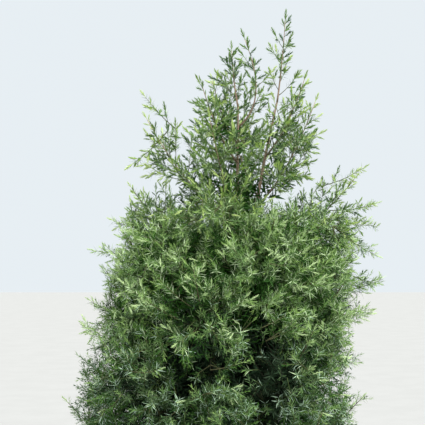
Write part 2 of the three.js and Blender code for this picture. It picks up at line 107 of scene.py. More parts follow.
# Habits of growth. twigs, length, spray, their tapers and spread are the solids' own. The scene adds more
# twigs between those, hanging ones under them, and side twigs, keeps each twig to a share of its span, and
# sets how closely side twigs and short shoots stand, the shoots' size and how far the mass may reach.
Habit = namedtuple(
    "Habit",
    "twigs length length_taper spray spray_taper spread more hanging span side first step shoots size slack",
)
DENSE = Habit(4, 170, 0.6, 150, 0.35, 260, 15, 9, 1.0, 82, 0.16, 1.0, 1.2, 0.9, 1.03)
UPPER = Habit(7, 120, 0.6, 90, 0.35, 180, 14, 3, 0.74, 62, 0.16, 1.1, 0.85, 0.8, 1.0)
OPEN = Habit(7, 120, 0.6, 90, 0.35, 180, 9, 1, 0.6, 52, 0.18, 1.25, 1.25, 1.08, 0.95)
PEAK = OPEN._replace(more=5, hanging=0, span=0.46, side=40)
LEADER = Habit(7, 62, 0.9, 52, 0.55, 120, 2, 0, 0.62, 24, 0.3, 1.6, 1.2, 1.16, 1.0)

# Tiers of boughs, as in the solids: root and tip heights, reach to the left, right and depth, how many,
# the first one's bearing, and the masses' habit.
TIERS = [
    ("skirt", 450, 640, 335, 330, 325, 4, 234, DENSE),
    ("low", 585, 850, 452, 352, 385, 4, 176, DENSE),
    ("waist", 735, 1042, 368, 372, 372, 4, 208, DENSE),
    ("middle", 875, 1170, 338, 412, 352, 5, 184, DENSE),
    ("shoulder", 1025, 1302, 294, 404, 290, 4, 197, DENSE),
    ("upper", 1175, 1418, 250, 352, 225, 4, 178, UPPER),
    ("top", 1330, 1600, 210, 242, 165, 4, 170, OPEN),
    ("peak", 1475, 1700, 96, 222, 110, 3, 230, PEAK),
]
TIER_TIP, TIER_LEFT, TIER_RIGHT, TIER_DEPTH = np.array([tier[2:6] for tier in TIERS], float).T
BEARING_SWING, TIP_SWING, ROOT_RISE, ROOT_SWING, REACH_SWING = 9, 38, 24, 6, 0.06
LEADER_CLEAR = 110  # boughs leave the right leader from this height above its foot
KNEE_OUT, KNEE_UP = 0.56, 0.3  # a limb's knee, as shares of its way out and of its rise
BOUGH_SHARE, BOUGH_ROOT_SHARE, BOUGH_END_RADIUS = 0.4, 0.46, 3.6  # the bare share, and radii of its ends
HEM_SHARE = 0.6  # the crown's reach at the pot's rim, against the lowest tier's
TWIG_LIFT = 0.28
SPRAY_BACK = 0.9  # a mass's last twig stands this share of a spray behind its tip
TWIG_FITS = (1, 0.85, 0.7, 0.56, 0.44, 0.32)  # shares of a twig's length, tried until it fits its space
TIP_SHOOT, BOX_SLACK = 20, 20  # how far shoots stand past a tip, and needles past the solids' box
TWIG_LEAST, SIDE_LEAST, FILL_LEAST = 24, 11, 30  # the shortest twigs that are kept

# How twigs stand round what they grow on: forward, and to the sides against up and down
TWIG_FAN, HANG_FAN = (0.75, 1.25, 0.8), (0.5, 1.25, 1.25)
SIDE_FAN, SPUR_FAN = (0.95, 1.0, 0.8), (0.35, 1.0, 1.0)

# First twigs: where the last of those between the solids' own and of the hanging ones stands, their shares
# of the span, and how rare long ones are, as a power
MORE_END, HANGING_END, MORE_SPAN, HANGING_SPAN, LONG_RARE = 0.98, 0.9, (0.7, 1.1), (0.55, 0.9), 2.6

# Side twigs: where they start on a mass's stem, how much shorter they get along what carries them, the share
# that stands in full shade, and how short they are on twigs that reach far, which makes slim sprays. The sky
# takes a share of them at the top's left: how many, from which heights up, and from which x to the left
STEM_SIDES, SIDE_TAPER, SIDE_SHADED, SLIM_REACH, SLIM = 0.3, 0.62, 0.25, 0.98, 0.56
SKY_TAKES, SKY_RISE, SKY_EDGE = 0.3, (1400, 1480), (-10, 40)

# Short shoots on stems, twigs and side twigs: the share of the path where they start, their spacing against
# the plain one, and the share of level paths that carry them in a row. Then the share where the last one
# stands, how far they may reach, the habit's size and the length above which a path ends in a tuft, and the
# top's middle, from which the open masses' shoots lean away
SHOOT_RUNS = ((0.45, 1.1, 0.1), (0.4, 1.1, 0.26), (0.06, 1, 0.03))
SHOOT_END, SHOOT_REACH, TUFT_SIZE, TUFT_PATH, TOP_MIDDLE = 0.985, 1.14, 1.1, 60, (34, 0, 0)

# Whorls of open needles on twigs and side twigs: the share where they start, and their spacing
WHORL_RUNS = ((0.45, 6.8), (0.05, 5.7))

# By how much a mass's own stem has to be nearer than any other to its first, side and filling twigs and its
# shoots. Below zero, neighbours may cross
FIRST_MARGIN, SIDE_MARGIN, FILL_MARGIN, SHOOT_MARGIN = (-10, 8), (-26, 4), -40, -30

# Tones of the short shoots: how much twigs and single shoots differ, how much paler they are towards a
# twig's end, at its tip and in a row, how much darker low down and inside, which is painted shade, and how
# much paler at the outside of the crown, partly the young growth's colour and partly painted light, and at
# its shoulder, which is painted light
TWIG_TONES, SHOOT_TONES, END_LIGHT, TIP_LIGHT, ROW_TONE = 0.46, 0.28, 0.22, 0.3, 0.8
LOW_SHADE, INNER_SHADE, OUTER_LIGHT, SHOULDER_LIGHT = 0.39, 0.26, 0.3, 0.06

# How far twigs reach, as shares of the crown's outline: the body of the crown and the longest twigs. The
# body is set back between the masses, and on the right at its flank and its sloping shoulder.
BODY_REACH, LONG_REACH, FILL_REACH = 0.87, 1.06, 0.94
NOTCH, FLANK, SHOULDER = 0.13, 0.08, 0.3
FLANK_RISE, SHOULDER_RISE, SHOULDER_END = (1090, 1180), (1260, 1400), (1440, 1500)

# Places that are filled where nothing grows, in the outer shell, in the open top's right half and inside:
# how many are tried, between which heights, shares of the reach and, in the top, bearings, how far from the
# nearest twig they lie, and the cells that get one each
FILL_TRIES, FILL_HEIGHTS, FILL_OUT, FILL_GAP, FILL_CELL = 9000, (450, 1330), (0.36, 0.9), 40, 50
TOP_TRIES, TOP_BEARINGS, TOP_HEIGHTS, TOP_OUT = 500, (-0.9, 0.9), (1400, 1650), (0.2, 0.72)
SPUR_TRIES, SPUR_HEIGHTS, SPUR_OUT, SPUR_GAP, SPUR_CELL = 7000, (510, 1280), (0.08, 0.68), 24, 40

# The filling twigs' lift, lengths and how deep in a hollow they may start. How far out and how low a spur may
# end, and the spacing of its whorls
FILL_LIFT, FILL_SPAN, FILL_HOLLOW = 0.12, (40, 190), 0.3
SPUR_REACH, SPUR_LOWEST, SPUR_STEP = 0.86, 470, 10

# Spurs round the wood: what carries them, between which shares of its line, how many and how long. Then
# those on each first twig: how many, between which shares and how long
SPUR_RUNS = [
    ("trunk", 0.12, 0.68, 230, 105), ("trunk", 0.68, 0.86, 40, 46), ("leader", 0.1, 0.6, 46, 42),
    ("dense", 0.06, 0.4, 18, 85), ("dense", 0.4, 0.8, 28, 90), ("upper", 0.04, 0.4, 9, 38),
]
TWIG_SPURS, TWIG_SPUR_PART, TWIG_SPUR_SPAN = 4, (0.06, 0.55), (35, 75)

# The share of the fine growth that stands deep in a dense mass, between which shares of the reach it rises to
# all of it, and what a hollow and a gap take of it
DEEP_SHARE, SEEN_RISE, HOLLOW_TAKES, GAP_TAKES = 0.04, (0.4, 0.74), 0.95, 0.75

# Shaded hollows that run into the dense crown: bearing, height, half width and half height
HOLLOWS = [
    (290, 940, 52, 92), (263, 952, 26, 26), (250, 1076, 36, 44), (277, 1055, 34, 30),
    (270, 1184, 24, 27), (250, 903, 24, 24), (20, 900, 40, 60), (75, 1040, 36, 50),
    (118, 860, 40, 56), (160, 1080, 34, 44), (200, 960, 32, 50), (340, 1110, 34, 40),
    (95, 1230, 28, 34), (30, 740, 38, 44), (190, 760, 36, 40), (315, 720, 34, 40),
]

# Tips of the slim sprays that stand out of the crown's sides, how far each runs and how much it bends
SPRAY_TIPS = [
    (358, -10, 1438), (384, -26, 1345), (390, 8, 1290), (385, -40, 1214), (390, -12, 1140), (366, -50, 1062),
    (-334, -20, 1224), (-288, -30, 1302), (-206, -20, 1622), (-236, -16, 1452), (-196, 8, 1520),
]
SPRAY_RUN, SPRAY_BEND = 120, 0.2

# The narrow gaps in front of the leaders in the open top: half widths, and the heights they run between
GAP_HALF, GAP_FOOT, GAP_HEAD = (7, 17), (1340, 1380), (1640, 1680)

# Soft steps in height: where the low growth turns to the light one, and the young masses to young growth
LOW_RISE, YOUNG_RISE = (780, 1150), (1180, 1420)

# Forms of a short shoot: how many whorls of needles stand on it and between which shares of its length, how
# far they open at the lowest and the last, the needles' size and width against the plain ones and where
# they are widest. An open or a shaded whorl stands by itself on a twig.
Form = namedtuple("Form", "whorls first last low high size width widest")
BODY = Form(2, 0, 0.8, 0.56, 0.28, 1, 1.7, 0.46)
BRUSH = Form(3, 0, 0.9, 1, 0.42, 1.24, 1, 0.3)
SPINDLE = Form(3, 0, 0.66, 0.42, 0.17, 1.12, 1.6, 0.5)
OPEN_WHORL = Form(1, 0, 0, 1, 1, 1, 1, 0.34)
SHADED_WHORL = OPEN_WHORL._replace(low=0.95, high=0.95)

# Tints of the short shoots, from shade to light: name, colour, share of silver inside, slot and form
NEEDLE_TINTS = [
    ("needles_blue", (0.036, 0.096, 0.03), 0.3, "foliage", BODY),
    ("needles_deep", (0.033, 0.107, 0.012), 0.2, "foliage", BODY),
    ("needles_mid", (0.13, 0.275, 0.05), 0.3, "foliage", BRUSH),
    ("needles_warm", (0.27, 0.43, 0.11), 0.3, "foliage", BRUSH),
    ("needles_fresh", (0.285, 0.45, 0.135), 0.15, "foliage", SPINDLE),
    ("needles_bright", (0.56, 0.72, 0.37), 0.1, "foliage", SPINDLE),
    ("needles_young_blue", (0.096, 0.175, 0.09), 0.3, "young_foliage", SPINDLE),
    ("needles_young_deep", (0.086, 0.175, 0.052), 0.2, "young_foliage", SPINDLE),
    ("needles_young_mid", (0.175, 0.3, 0.085), 0.2, "young_foliage", SPINDLE),
    ("needles_young_warm", (0.235, 0.37, 0.105), 0.2, "young_foliage", SPINDLE),
    ("needles_young_fresh", (0.31, 0.46, 0.11), 0.15, "young_foliage", SPINDLE),
    ("needles_young_bright", (0.54, 0.69, 0.25), 0.1, "young_foliage", SPINDLE),
]
TINT_STEPS = (0.4, 0.58, 0.7, 0.82)

# Whorls of open needles along the twigs: name, colour, share of silver inside, length and width against the
# plain ones, and slot
OPEN_NEEDLES = [
    ("needles_open", (0.056, 0.16, 0.026), 0.3, 1.2, 0.75, "foliage"),
    ("needles_open_pale", (0.59, 0.74, 0.46), 0.1, 1.6, 1.15, "foliage"),
    ("needles_open_frost", (0.5, 0.68, 0.52), 0.1, 1.6, 1.1, "foliage"),
    ("needles_open_young", (0.11, 0.21, 0.065), 0.4, 1.2, 0.7, "young_foliage"),
    ("needles_open_silver", (0.5, 0.64, 0.36), 0.1, 1.4, 0.95, "young_foliage"),
]

# Length and width of the shaded needles deep inside, and how much less they measure further out
SHADED_LENGTH, SHADED_WIDTH = (27, 6.5), (6.8, 2.9)

# Radii of the wood in the masses at foot and tip: dense and open stems, spurs and side twigs. A twig's foot
# grows with its length from the first radius to the second
STEM_FEET, STEM_TIP, SPUR_RADII, SIDE_RADII = (3.5, 2.9), 0.8, (1.0, 0.5), (0.75, 0.42)
TWIG_FEET, TWIG_TIP = (0.9, 1.9), 0.5

# Thin bark: each piece's material, and its light and dark flecks. The dark bark of the twigs in hollows and
# of the spurs inside is painted shade
TWIG_BARKS = {
    "stems_brown": ("stems_brown", (0.11, 0.09, 0.05), (0.055, 0.045, 0.026)),
    "stems_tan": ("stems_tan", (0.46, 0.34, 0.25), (0.27, 0.19, 0.14)),
    "twigs_olive": ("twigs_olive", (0.15, 0.155, 0.065), (0.075, 0.075, 0.035)),
    "twigs_shaded": ("twigs_shaded", (0.04, 0.042, 0.022), (0.02, 0.022, 0.012)),
    "spurs_brown": ("spur_bark", (0.04, 0.045, 0.022), (0.02, 0.022, 0.012)),
    "twigs_green": ("green_twig", (0.16, 0.23, 0.07), (0.1, 0.13, 0.045)),
}

# ---------------------------------------------------------------- settings that a user would change

COLOUR = {"subtype": "COLOR", "size": 3, "min": 0, "max": 1}


class JuniperPotSettings(bpy.types.PropertyGroup):
    """The pot and its compost."""

    clay: FloatVectorProperty(
        name="Clay", description="Colour of the dry terracotta", default=(0.42, 0.165, 0.085), **COLOUR
    )
    compost: FloatVectorProperty(
        name="Compost", description="Colour of the moist compost", default=(0.045, 0.026, 0.016), **COLOUR
    )
    ring_depth: FloatProperty(
        name="Ring depth", description="How far the rings stand out", default=0.00025, min=0, unit="LENGTH"
    )
    chips: IntProperty(name="Bark chips", description="How many lie on the compost", default=1500, min=0)


class JuniperWoodSettings(bpy.types.PropertyGroup):
    """The trunk, leaders, boughs and twigs."""

    old_bark: FloatVectorProperty(
        name="Old bark", description="Colour of the bark low down", default=(0.11, 0.078, 0.058), **COLOUR
    )
    young_bark: FloatVectorProperty(
        name="Young bark", description="Colour of the leaders' bark", default=(0.5, 0.36, 0.27), **COLOUR
    )
    relief: FloatProperty(
        name="Bark relief", description="Height of the ridges low down", default=0.0016, min=0, unit="LENGTH"
    )
    twig_step: FloatProperty(
        name="Twig spacing", description="Between the side twigs", default=0.0175, min=0.005, unit="LENGTH"
    )


class JuniperNeedleSettings(bpy.types.PropertyGroup):
    """The needles and their colours."""

    seed: IntProperty(name="Seed", description="Another seed grows another set of fine twigs", default=11)
    shoot_step: FloatProperty(
        name="Shoot spacing", description="Between the short shoots", default=0.0085, min=0.003, unit="LENGTH"
    )
    shoot_length: FloatProperty(
        name="Shoot length", description="Length of a short shoot", default=0.025, min=0.005, unit="LENGTH"
    )
    needle_length: FloatProperty(
        name="Needle length", description="Length of a plain needle", default=0.0125, min=0.003, unit="LENGTH"
    )
    needle_width: FloatProperty(
        name="Needle width", description="Width of a plain needle", default=0.0019, min=0.0005, unit="LENGTH"
    )
    silver: FloatVectorProperty(
        name="Silver", description="Colour of a needle's inner face", default=(0.4, 0.54, 0.29), **COLOUR
    )


class JuniperStageSettings(bpy.types.PropertyGroup):
    """The floor, lights and camera."""

    sun: FloatProperty(name="Sun", description="Strength of the wide soft sun", default=5.2, min=0)
    fill: FloatProperty(name="Fill", description="Strength of the light all round", default=0.68, min=0)
    camera_height: FloatProperty(
        name="Camera height", description="Height of the camera above the floor", default=1.2, unit="LENGTH"
    )
    camera_distance: FloatProperty(
        name="Camera distance", description="How far in front of the pot", default=3.0, min=0.5, unit="LENGTH"
    )
    camera_side: FloatProperty(
        name="Camera side", description="How far to the right of the pot", default=-0.0325, unit="LENGTH"
    )
    camera_pitch: FloatProperty(
        name="Camera pitch", description="How far it looks up", default=math.radians(2.36), subtype="ANGLE"
    )
    lens: FloatProperty(name="Lens", description="Focal length in mm on a 36 mm frame", default=97.7, min=10)
    backdrop: FloatVectorProperty(
        name="Backdrop", description="Colour of the light all round", default=(0.8, 0.86, 0.9), **COLOUR
    )


# ---------------------------------------------------------------- numbers and lines


def scatter(i, k):
    """A repeatable number from 0 to 1 for any two whole numbers: the fraction of a much magnified sine."""
    s = np.sin(np.asarray(i) * 12.9898 + np.asarray(k) * 78.233) * 43758.5453
    return s - np.floor(s)


def swing(i, k):
    """The same, from -1 to 1."""
    return 2 * scatter(i, k) - 1


def unit(v):
    """Each vector over its own length."""
    return v / np.maximum(np.linalg.norm(v, axis=-1, keepdims=True), 1e-12)


def smooth(low, high, x):
    """A soft step from 0 at low to 1 at high: 3t^2 - 2t^3."""
    t = np.clip((x - low) / (high - low), 0, 1)
    return t * t * (3 - 2 * t)


def towards(angle, a, b):
    """The direction at an angle from a towards b: a cos + b sin."""
    return np.cos(angle)[..., None] * a + np.sin(angle)[..., None] * b


def polar(radius, bearing, height):
    """Points at a radius, bearing and height: (r cos a, r sin a, z)."""
    return np.stack([radius * np.cos(bearing), radius * np.sin(bearing), height], -1)


def off_axis(points):
    """How far each point is from the plant's upright axis."""
    return np.hypot(points[..., 0], points[..., 1])


def joined(rows):
    """Rows of arrays as one array a column."""
    return [np.concatenate(column) for column in zip(*rows)]


def picked(mask, *arrays):
    """The marked rows of each array."""
    return [array[mask] for array in arrays]


class Line:
    """A Bezier curve walked by the share of its length, read from a table of 201 of its points."""

    def __init__(self, controls):
        self.controls = np.array(controls, float)
        self.t = np.linspace(0, 1, 201)
        steps = np.linalg.norm(np.diff(self.point(self.t), axis=0), axis=1)
        self.walked = np.concatenate([[0], np.cumsum(steps)])
        self.length = self.walked[-1]

    def point(self, t):
        """The sum of the controls, each weighed by its binomial share of t and 1 - t."""
        n = len(self.controls) - 1
        k = np.arange(n + 1)
        ways = np.array([math.comb(n, j) for j in k])
        t = np.asarray(t, float)[..., None]
        return (ways * t**k * (1 - t) ** (n - k)) @ self.controls

    def at(self, share):
        """The points at shares of the length: t is read off where the walk has come that far."""
        return self.point(np.interp(np.asarray(share) * self.length, self.walked, self.t))

    def walk(self, low, high, count):
        """Points evenly spaced between two shares of the length."""
        return self.at(np.linspace(low, high, count))


STEMS = [(stem, Line(stem.controls)) for stem in (TRUNK, RIGHT_LEADER)]


def stem_radius(stem, line, share):
    """The radius of the trunk or a leader: tip + (foot - tip)(1 - share)^taper, and a root flare that dies
    away with the height climbed."""
    flare = stem.flare * np.exp(-share * line.length / stem.flare_height)
    return stem.tip_radius + (stem.foot_radius - stem.tip_radius) * (1 - share) ** stem.taper + flare


def reach_at(tier, bearing):
    """How far tiers reach at bearings: ellipses whose left and right halves differ."""
    side = np.where(np.cos(bearing) > 0, TIER_RIGHT[tier], TIER_LEFT[tier])
    return 1 / np.hypot(np.cos(bearing) / side, np.sin(bearing) / TIER_DEPTH[tier])


def crown_reach(points):
    """How far the crown reaches at the height and bearing of each point, straight between the tiers' tips."""
    height, bearing = points[..., 2], np.arctan2(points[..., 1], points[..., 0])
    tier = np.searchsorted(TIER_TIP, height, side="right")
    over, under = np.minimum(tier, len(TIERS) - 1), np.maximum(tier - 1, 0)
    upper = reach_at(over, bearing)
    lower = np.where(tier > 0, reach_at(under, bearing), HEM_SHARE * upper)
    base = np.where(tier > 0, TIER_TIP[under], POT_HEIGHT)
    share = np.where(tier < len(TIERS), (height - base) / np.maximum(TIER_TIP[over] - base, 1), 1)
    return lower + share * (upper - lower)


def crown_share(points):
    """How far out each point lies, as a share of the crown's reach there."""
    return off_axis(points) / crown_reach(points)


# ---------------------------------------------------------------- the crown's rule of growth

# A bough with its mass: bare is the share of its line before the foliage starts, and end the share where
# its last twig stands.
Limb = namedtuple("Limb", "name number line carrier bare end habit")


def lay_out_limbs():
    """Every bough and mass of the tiers, each from the stem nearest to its tip, and the leader tops."""
    limbs = []

    def add(name, number, controls, carrier, bare, habit):
        """One limb, whose last twig stands a spray's length short of its tip."""
        line = Line(controls)
        end = 1 - SPRAY_BACK * habit.spray / line.length
        limbs.append(Limb(name, number, line, carrier, bare, end, habit))

    shares = np.linspace(0, 1, 400)
    heights = [line.at(shares)[:, 2] for _, line in STEMS]
    for t, (name, root, rise, _, _, _, count, turn, habit) in enumerate(TIERS):
        for i in range(count):
            number = 10 * t + i
            bearing = math.radians(turn + 360 * i / count + BEARING_SWING * swing(number, 1))
            reach = float(reach_at(np.array(t), bearing)) * (1 + REACH_SWING * swing(number, 2))
            height = rise + TIP_SWING * swing(number, 3)
            tip = np.array([reach * math.cos(bearing), reach * math.sin(bearing), height])
            root_height = root + ROOT_RISE * (i - (count - 1) / 2) + ROOT_SWING * swing(number, 4)
            carriers = []
            for (stem, line), climbed in zip(STEMS, heights):
                if stem is RIGHT_LEADER and root_height <= stem.controls[0][2] + LEADER_CLEAR:
                    continue
                share = np.interp(root_height, climbed, shares)
                point = line.at(share)
                far = np.linalg.norm(point - tip)
                carriers.append((far, tuple(point), float(stem_radius(stem, line, share))))
            _, point, radius = min(carriers)
            point = np.array(point)
            knee = point + KNEE_OUT * (tip - point)
            knee[2] = point[2] + KNEE_UP * (tip[2] - point[2])
            bare = BOUGH_SHARE if habit is DENSE else 0.0
            add(f"{name}_{i + 1}", number, [point, knee, tip], radius, bare, habit)
    for k, (name, controls) in enumerate(LEADER_TOPS):
        add(name, 90 + k, controls, TRUNK.tip_radius, 0.0, LEADER)
    return limbs


def distances(points, starts, ends):
    """How far each point is from each straight stretch, as an array of points by stretches."""
    run = ends - starts
    out = np.empty((len(points), len(starts)))
    for low in range(0, len(points), 4096):
        gap = points[low : low + 4096, None] - starts
        share = np.clip((gap * run).sum(-1) / (run * run).sum(-1), 0, 1)
        out[low : low + 4096] = np.linalg.norm(gap - share[..., None] * run, axis=-1)
    return out


def closest(places, points, groups=None):
    """Which of the points lies nearest to each place, and how far off the nearest is. With groups, those of
    the places and of the points, the point is the nearest of the place's own group."""
    nearest, gap = np.empty(len(places), int), np.empty(len(places))
    for low in range(0, len(places), 512):
        part = slice(low, low + 512)
        far = np.linalg.norm(places[part, None] - points, axis=-1)
        gap[part] = far.min(1)
        if groups:
            far = np.where(groups[1] == groups[0][part, None], far, np.inf)
        nearest[part] = far.argmin(1)
    return nearest, gap


def with_habit(limbs, *habits):
    """True for each limb that has one of the habits."""
    return np.array([limb.habit in habits for limb in limbs])


class Crown:
    """The limbs with the masses' own spaces: within a mass's spread and the crown's outline, nearer to its
    own stem than to any other, and clear of every limb. Its draws all come from one seed."""

    def __init__(self, limbs, seed):
        """Each mass's stem in three straight runs, and the wood to keep clear of in runs with their radii."""
        self.limbs, self.rng = limbs, np.random.default_rng(seed)
        self.dense = with_habit(limbs, DENSE)
        self.spread = self.habits("spread")
        stations = np.array([limb.line.walk(limb.bare, limb.end, 4) for limb in limbs])
        self.starts, self.ends = (part.reshape(-1, 3) for part in (stations[:, :-1], stations[:, 1:]))
        shares = np.linspace(0, 1, 15)
        wood = [(line.at(shares), stem_radius(stem, line, shares[:-1])) for stem, line in STEMS]
        for limb in limbs:
            if limb.bare > 0:
                wood.append((limb.line.walk(0, limb.bare, 5), np.full(4, BOUGH_ROOT_SHARE * limb.carrier)))
        self.wood_starts, self.wood_ends, self.wood_radii = joined((at[:-1], at[1:], r) for at, r in wood)
        low, high = np.array(CAD_BOX) / MM
        self.low, self.high = low - BOX_SLACK, high + BOX_SLACK

    def habits(self, key):
        """One number of every mass's habit."""
        return np.array([getattr(limb.habit, key) for limb in self.limbs])

    def off_stems(self, points):
        """How far each point is from each mass's stem."""
        return distances(points, self.starts, self.ends).reshape(len(points), len(self.spread), 3).min(-1)

    def in_box(self, points):
        """True for each point within the solids' box and what needles may stand out of it."""
        return ((points > self.low) & (points < self.high)).all(1)

    def hold(self, points, owner, slack, margin):
        """True for each point that its owner's space holds. slack is the share of the crown's reach that it
        may fill, and margin by how much its own stem has to be nearer than any other."""
        near = self.off_stems(points)
        rows = np.arange(len(points))
        own = near[rows, owner]
        near[rows, owner] = np.inf
        out, height = off_axis(points), points[:, 2]
        inside = (own < self.spread[owner]) & (near.min(1) > own + margin) & (height > POT_HEIGHT + 5)
        held_in = np.clip((LONG_REACH - slack) / (LONG_REACH - BODY_REACH), 0, 1)
        flank = FLANK * smooth(*FLANK_RISE, height) + SHOULDER * smooth(*SHOULDER_RISE, height)
        flank *= smooth(0.3, 0.9, points[:, 0] / np.maximum(out, 1)) * (1 - smooth(*SHOULDER_END, height))
        notch = 1 - held_in * (NOTCH * smooth(50, 150, own) + flank)
        inside &= (out < slack * notch * crown_reach(points)) & self.in_box(points)
        wood = distances(points, self.wood_starts, self.wood_ends)
        return inside & (wood > self.wood_radii + 2).all(1)


def path_lengths(paths):
    """The sum of the distances from station to station of each path."""
    return np.linalg.norm(np.diff(paths, axis=1), axis=2).sum(1)


def places_along(room, least=1):
    """Places along paths that each have room for a number of them: each place's path, its number along the
    path, and how many that path has."""
    number = np.maximum(room.astype(int), least)
    index = np.repeat(np.arange(len(number)), number)
    return index, np.arange(len(index)) - np.repeat(np.cumsum(number) - number, number), number[index]


def stations_on(paths, index, share):
    """The point and the way ahead on a path at a share of its length, straight between its stations."""
    steps = paths.shape[1] - 1
    at = np.clip(share * steps, 0, steps - 1e-6)
    k = at.astype(int)
    start, end = paths[index, k], paths[index, k + 1]
    return start + (at - k)[:, None] * (end - start), unit(end - start)


def resampled(paths, count):
    """Paths with another number of stations, straight between the old ones."""
    index = np.repeat(np.arange(len(paths)), count)
    share = np.tile(np.linspace(0, 1, count), len(paths))
    return stations_on(paths, index, share)[0].reshape(len(paths), count, 3)


def beside(ahead):
    """Two directions square to each way ahead: level to its side, and up across it."""
    across = unit(np.cross(UP, ahead) + 1e-6)
    return across, np.cross(ahead, across)


def fan(ahead, roll, forward, width, height):
    """Directions that lean forward and stand round a stem, wider to its sides than up and down."""
    across, above = beside(ahead)
    side = width * np.cos(roll)[:, None] * across + height * np.sin(roll)[:, None] * above
    return unit(forward * ahead + side)


def twig_paths(start, heading, length, lift, count):
    """Twigs that set out along their heading and bend up: start + heading s L + up lift s^2 L."""
    s = np.linspace(0, 1, count)[None, :, None]
    reach, lift = length[:, None, None], np.broadcast_to(lift, len(length))[:, None, None]
    return start[:, None] + heading[:, None] * s * reach + UP * lift * s * s * reach


def fitted(crown, start, heading, length, lift, owner, slack, margin):
    """The longest of a few lengths at which a twig keeps to its owner's space, or 0 where none does."""
    lift, slack, margin = (np.broadcast_to(part, len(length)) for part in (lift, slack, margin))
    fit = np.zeros(len(length))
    for share in TWIG_FITS:
        left = np.flatnonzero(fit == 0)
        if not len(left):
            break
        path = twig_paths(start[left], heading[left], share * length[left], lift[left], 5)
        held = np.ones(len(left), bool)
        for k in (2, 3, 4):
            held &= crown.hold(path[:, k], owner[left], slack[left], margin[left])
        fit[left[held]] = share
    return fit * length


def grow(limbs, settings, twig_step):
    """Grows the crown from the limbs: the stem of each mass, carried on to the line's tip, its twigs, their
    side twigs, the short shoots and whorls of open needles on them, and the spurs inside."""
    crown = Crown(limbs, settings.seed)
    tops = [1 - TIP_SHOOT / limb.line.length for limb in limbs]
    crown.stems = np.array([limb.line.walk(limb.bare, top, 13) for limb, top in zip(limbs, tops)])
    first, first_owner, slack = first_twigs(crown)
    fillers, filler_owner = filling_twigs(crown, first, first_owner)
    sprays, spray_owner = slim_sprays(crown, first, first_owner)
    crown.twigs = np.concatenate([first, fillers, sprays])
    twigs = crown.twigs, np.concatenate([first_owner, filler_owner, spray_owner])
    stems = resampled(crown.stems, 6), np.arange(len(limbs))
    fill_slack = [np.full(len(fillers), FILL_REACH), np.full(len(sprays), LONG_REACH)]
    slack = np.concatenate([1.02 * crown.habits("slack"), slack, *fill_slack])
    side = side_twigs(crown, *joined([stems, twigs]), slack, twig_step)
    crown.side_twigs = side[0]
    crown.shoots = short_shoots(crown, (stems, twigs, side), settings)
    crown.whorls = open_whorls(crown, (twigs, side))
    crown.spurs = shaded_spurs(crown, first[crown.dense[first_owner]])
    return crown


def first_twigs(crown):
    """The first twigs of every mass: those of the solids, more between them, and hanging ones that fill the
    gaps below. Returns their paths, their masses and how far each may reach."""
    rng, rows = crown.rng, []
    for m, limb in enumerate(crown.limbs):
        habit, number = limb.habit, limb.number
        k, k_more, k_hang = (np.arange(n) for n in (habit.twigs, habit.more, habit.hanging))
        own = (k + 0.35 + 0.5 * scatter(number, 20 + k)) / (habit.twigs + 0.6)
        more = (k_more + 0.2 + 0.6 * rng.random(habit.more)) / max(habit.more, 1) * MORE_END
        hang = (k_hang + 0.5) / max(habit.hanging, 1) * HANGING_END
        along = np.concatenate([own, more, hang])
        turn = GOLDEN_ANGLE * np.concatenate([k, k_more + 0.5, k_hang + 0.25]) + TURN * scatter(number, 5)
        span = habit.length * (1 - habit.length_taper * along)
        span = habit.span * (span + 0.9 * habit.spray * (1 - habit.spray_taper * along))
        vary = [0.85 + 0.3 * scatter(number, 40 + k)]
        vary += [rng.uniform(*MORE_SPAN, habit.more), rng.uniform(*HANGING_SPAN, habit.hanging)]
        share = along * (limb.end - limb.bare) / (1 - limb.bare)
        hangs = np.arange(len(along)) >= habit.twigs + habit.more
        rows.append((np.full(len(along), m), share, turn, span * np.concatenate(vary), hangs))
    owner, share, roll, length, hangs = joined(rows)
    base, ahead = stations_on(crown.stems, owner, share)
    heading = np.where(hangs[:, None], fan(ahead, roll, *HANG_FAN), fan(ahead, roll, *TWIG_FAN))
    lift = np.where(hangs, 0.0, TWIG_LIFT)
    reach = BODY_REACH + (LONG_REACH - BODY_REACH) * rng.random(len(owner)) ** LONG_RARE
    slack = crown.habits("slack")[owner] * reach
    length = fitted(crown, base, heading, length, lift, owner, slack, rng.uniform(*FIRST_MARGIN, len(owner)))
    kept = length > TWIG_LEAST
    return twig_paths(*picked(kept, base, heading, length, lift), 6), owner[kept], slack[kept]


def side_twigs(crown, carriers, owner, slack, step):
    """Side twigs on the first twigs and on the outer part of each stem, fewer where the sky shows through
    the top's left side. Returns their paths and masses."""
    rng = crown.rng
    begin = crown.habits("first")[owner]
    begin[: len(crown.limbs)] = STEM_SIDES
    room = path_lengths(carriers) * (1 - begin) / (step * crown.habits("step")[owner])
    index, order, number = places_along(room)
    begin, owner, slack = begin[index], owner[index], slack[index]
    share = begin + (1 - begin) * (order + 0.15 + 0.7 * rng.random(len(index))) / number
    share = np.minimum(share, 0.97)
    roll = GOLDEN_ANGLE * order + TURN * rng.random(len(carriers))[index]
    base, ahead = stations_on(carriers, index, share)
    heading = fan(ahead, roll, *SIDE_FAN)
    slim = np.where(slack > SLIM_REACH, SLIM, 1.0)
    length = slim * crown.habits("side")[owner] * (1 - SIDE_TAPER * share)
    length = length * (0.6 + 0.75 * rng.random(len(index)))
    lift = rng.uniform(-0.12, 0.3, len(index))
    slack = slack * rng.uniform(0.94, 1.02, len(index))
    margin = rng.uniform(*SIDE_MARGIN, len(index))
    length = fitted(crown, base, heading, length, lift, owner, slack, margin)
    sky = SKY_TAKES * smooth(*SKY_RISE, base[:, 2]) * (1 - smooth(*SKY_EDGE, base[:, 0]))
    share = (SIDE_SHADED + (1 - SIDE_SHADED) * seen_share(base, crown.dense[owner])) * (1 - sky)
    kept = (length > SIDE_LEAST) & (rng.random(len(length)) < share)
    return twig_paths(*picked(kept, base, heading, length, lift), 3), owner[kept]


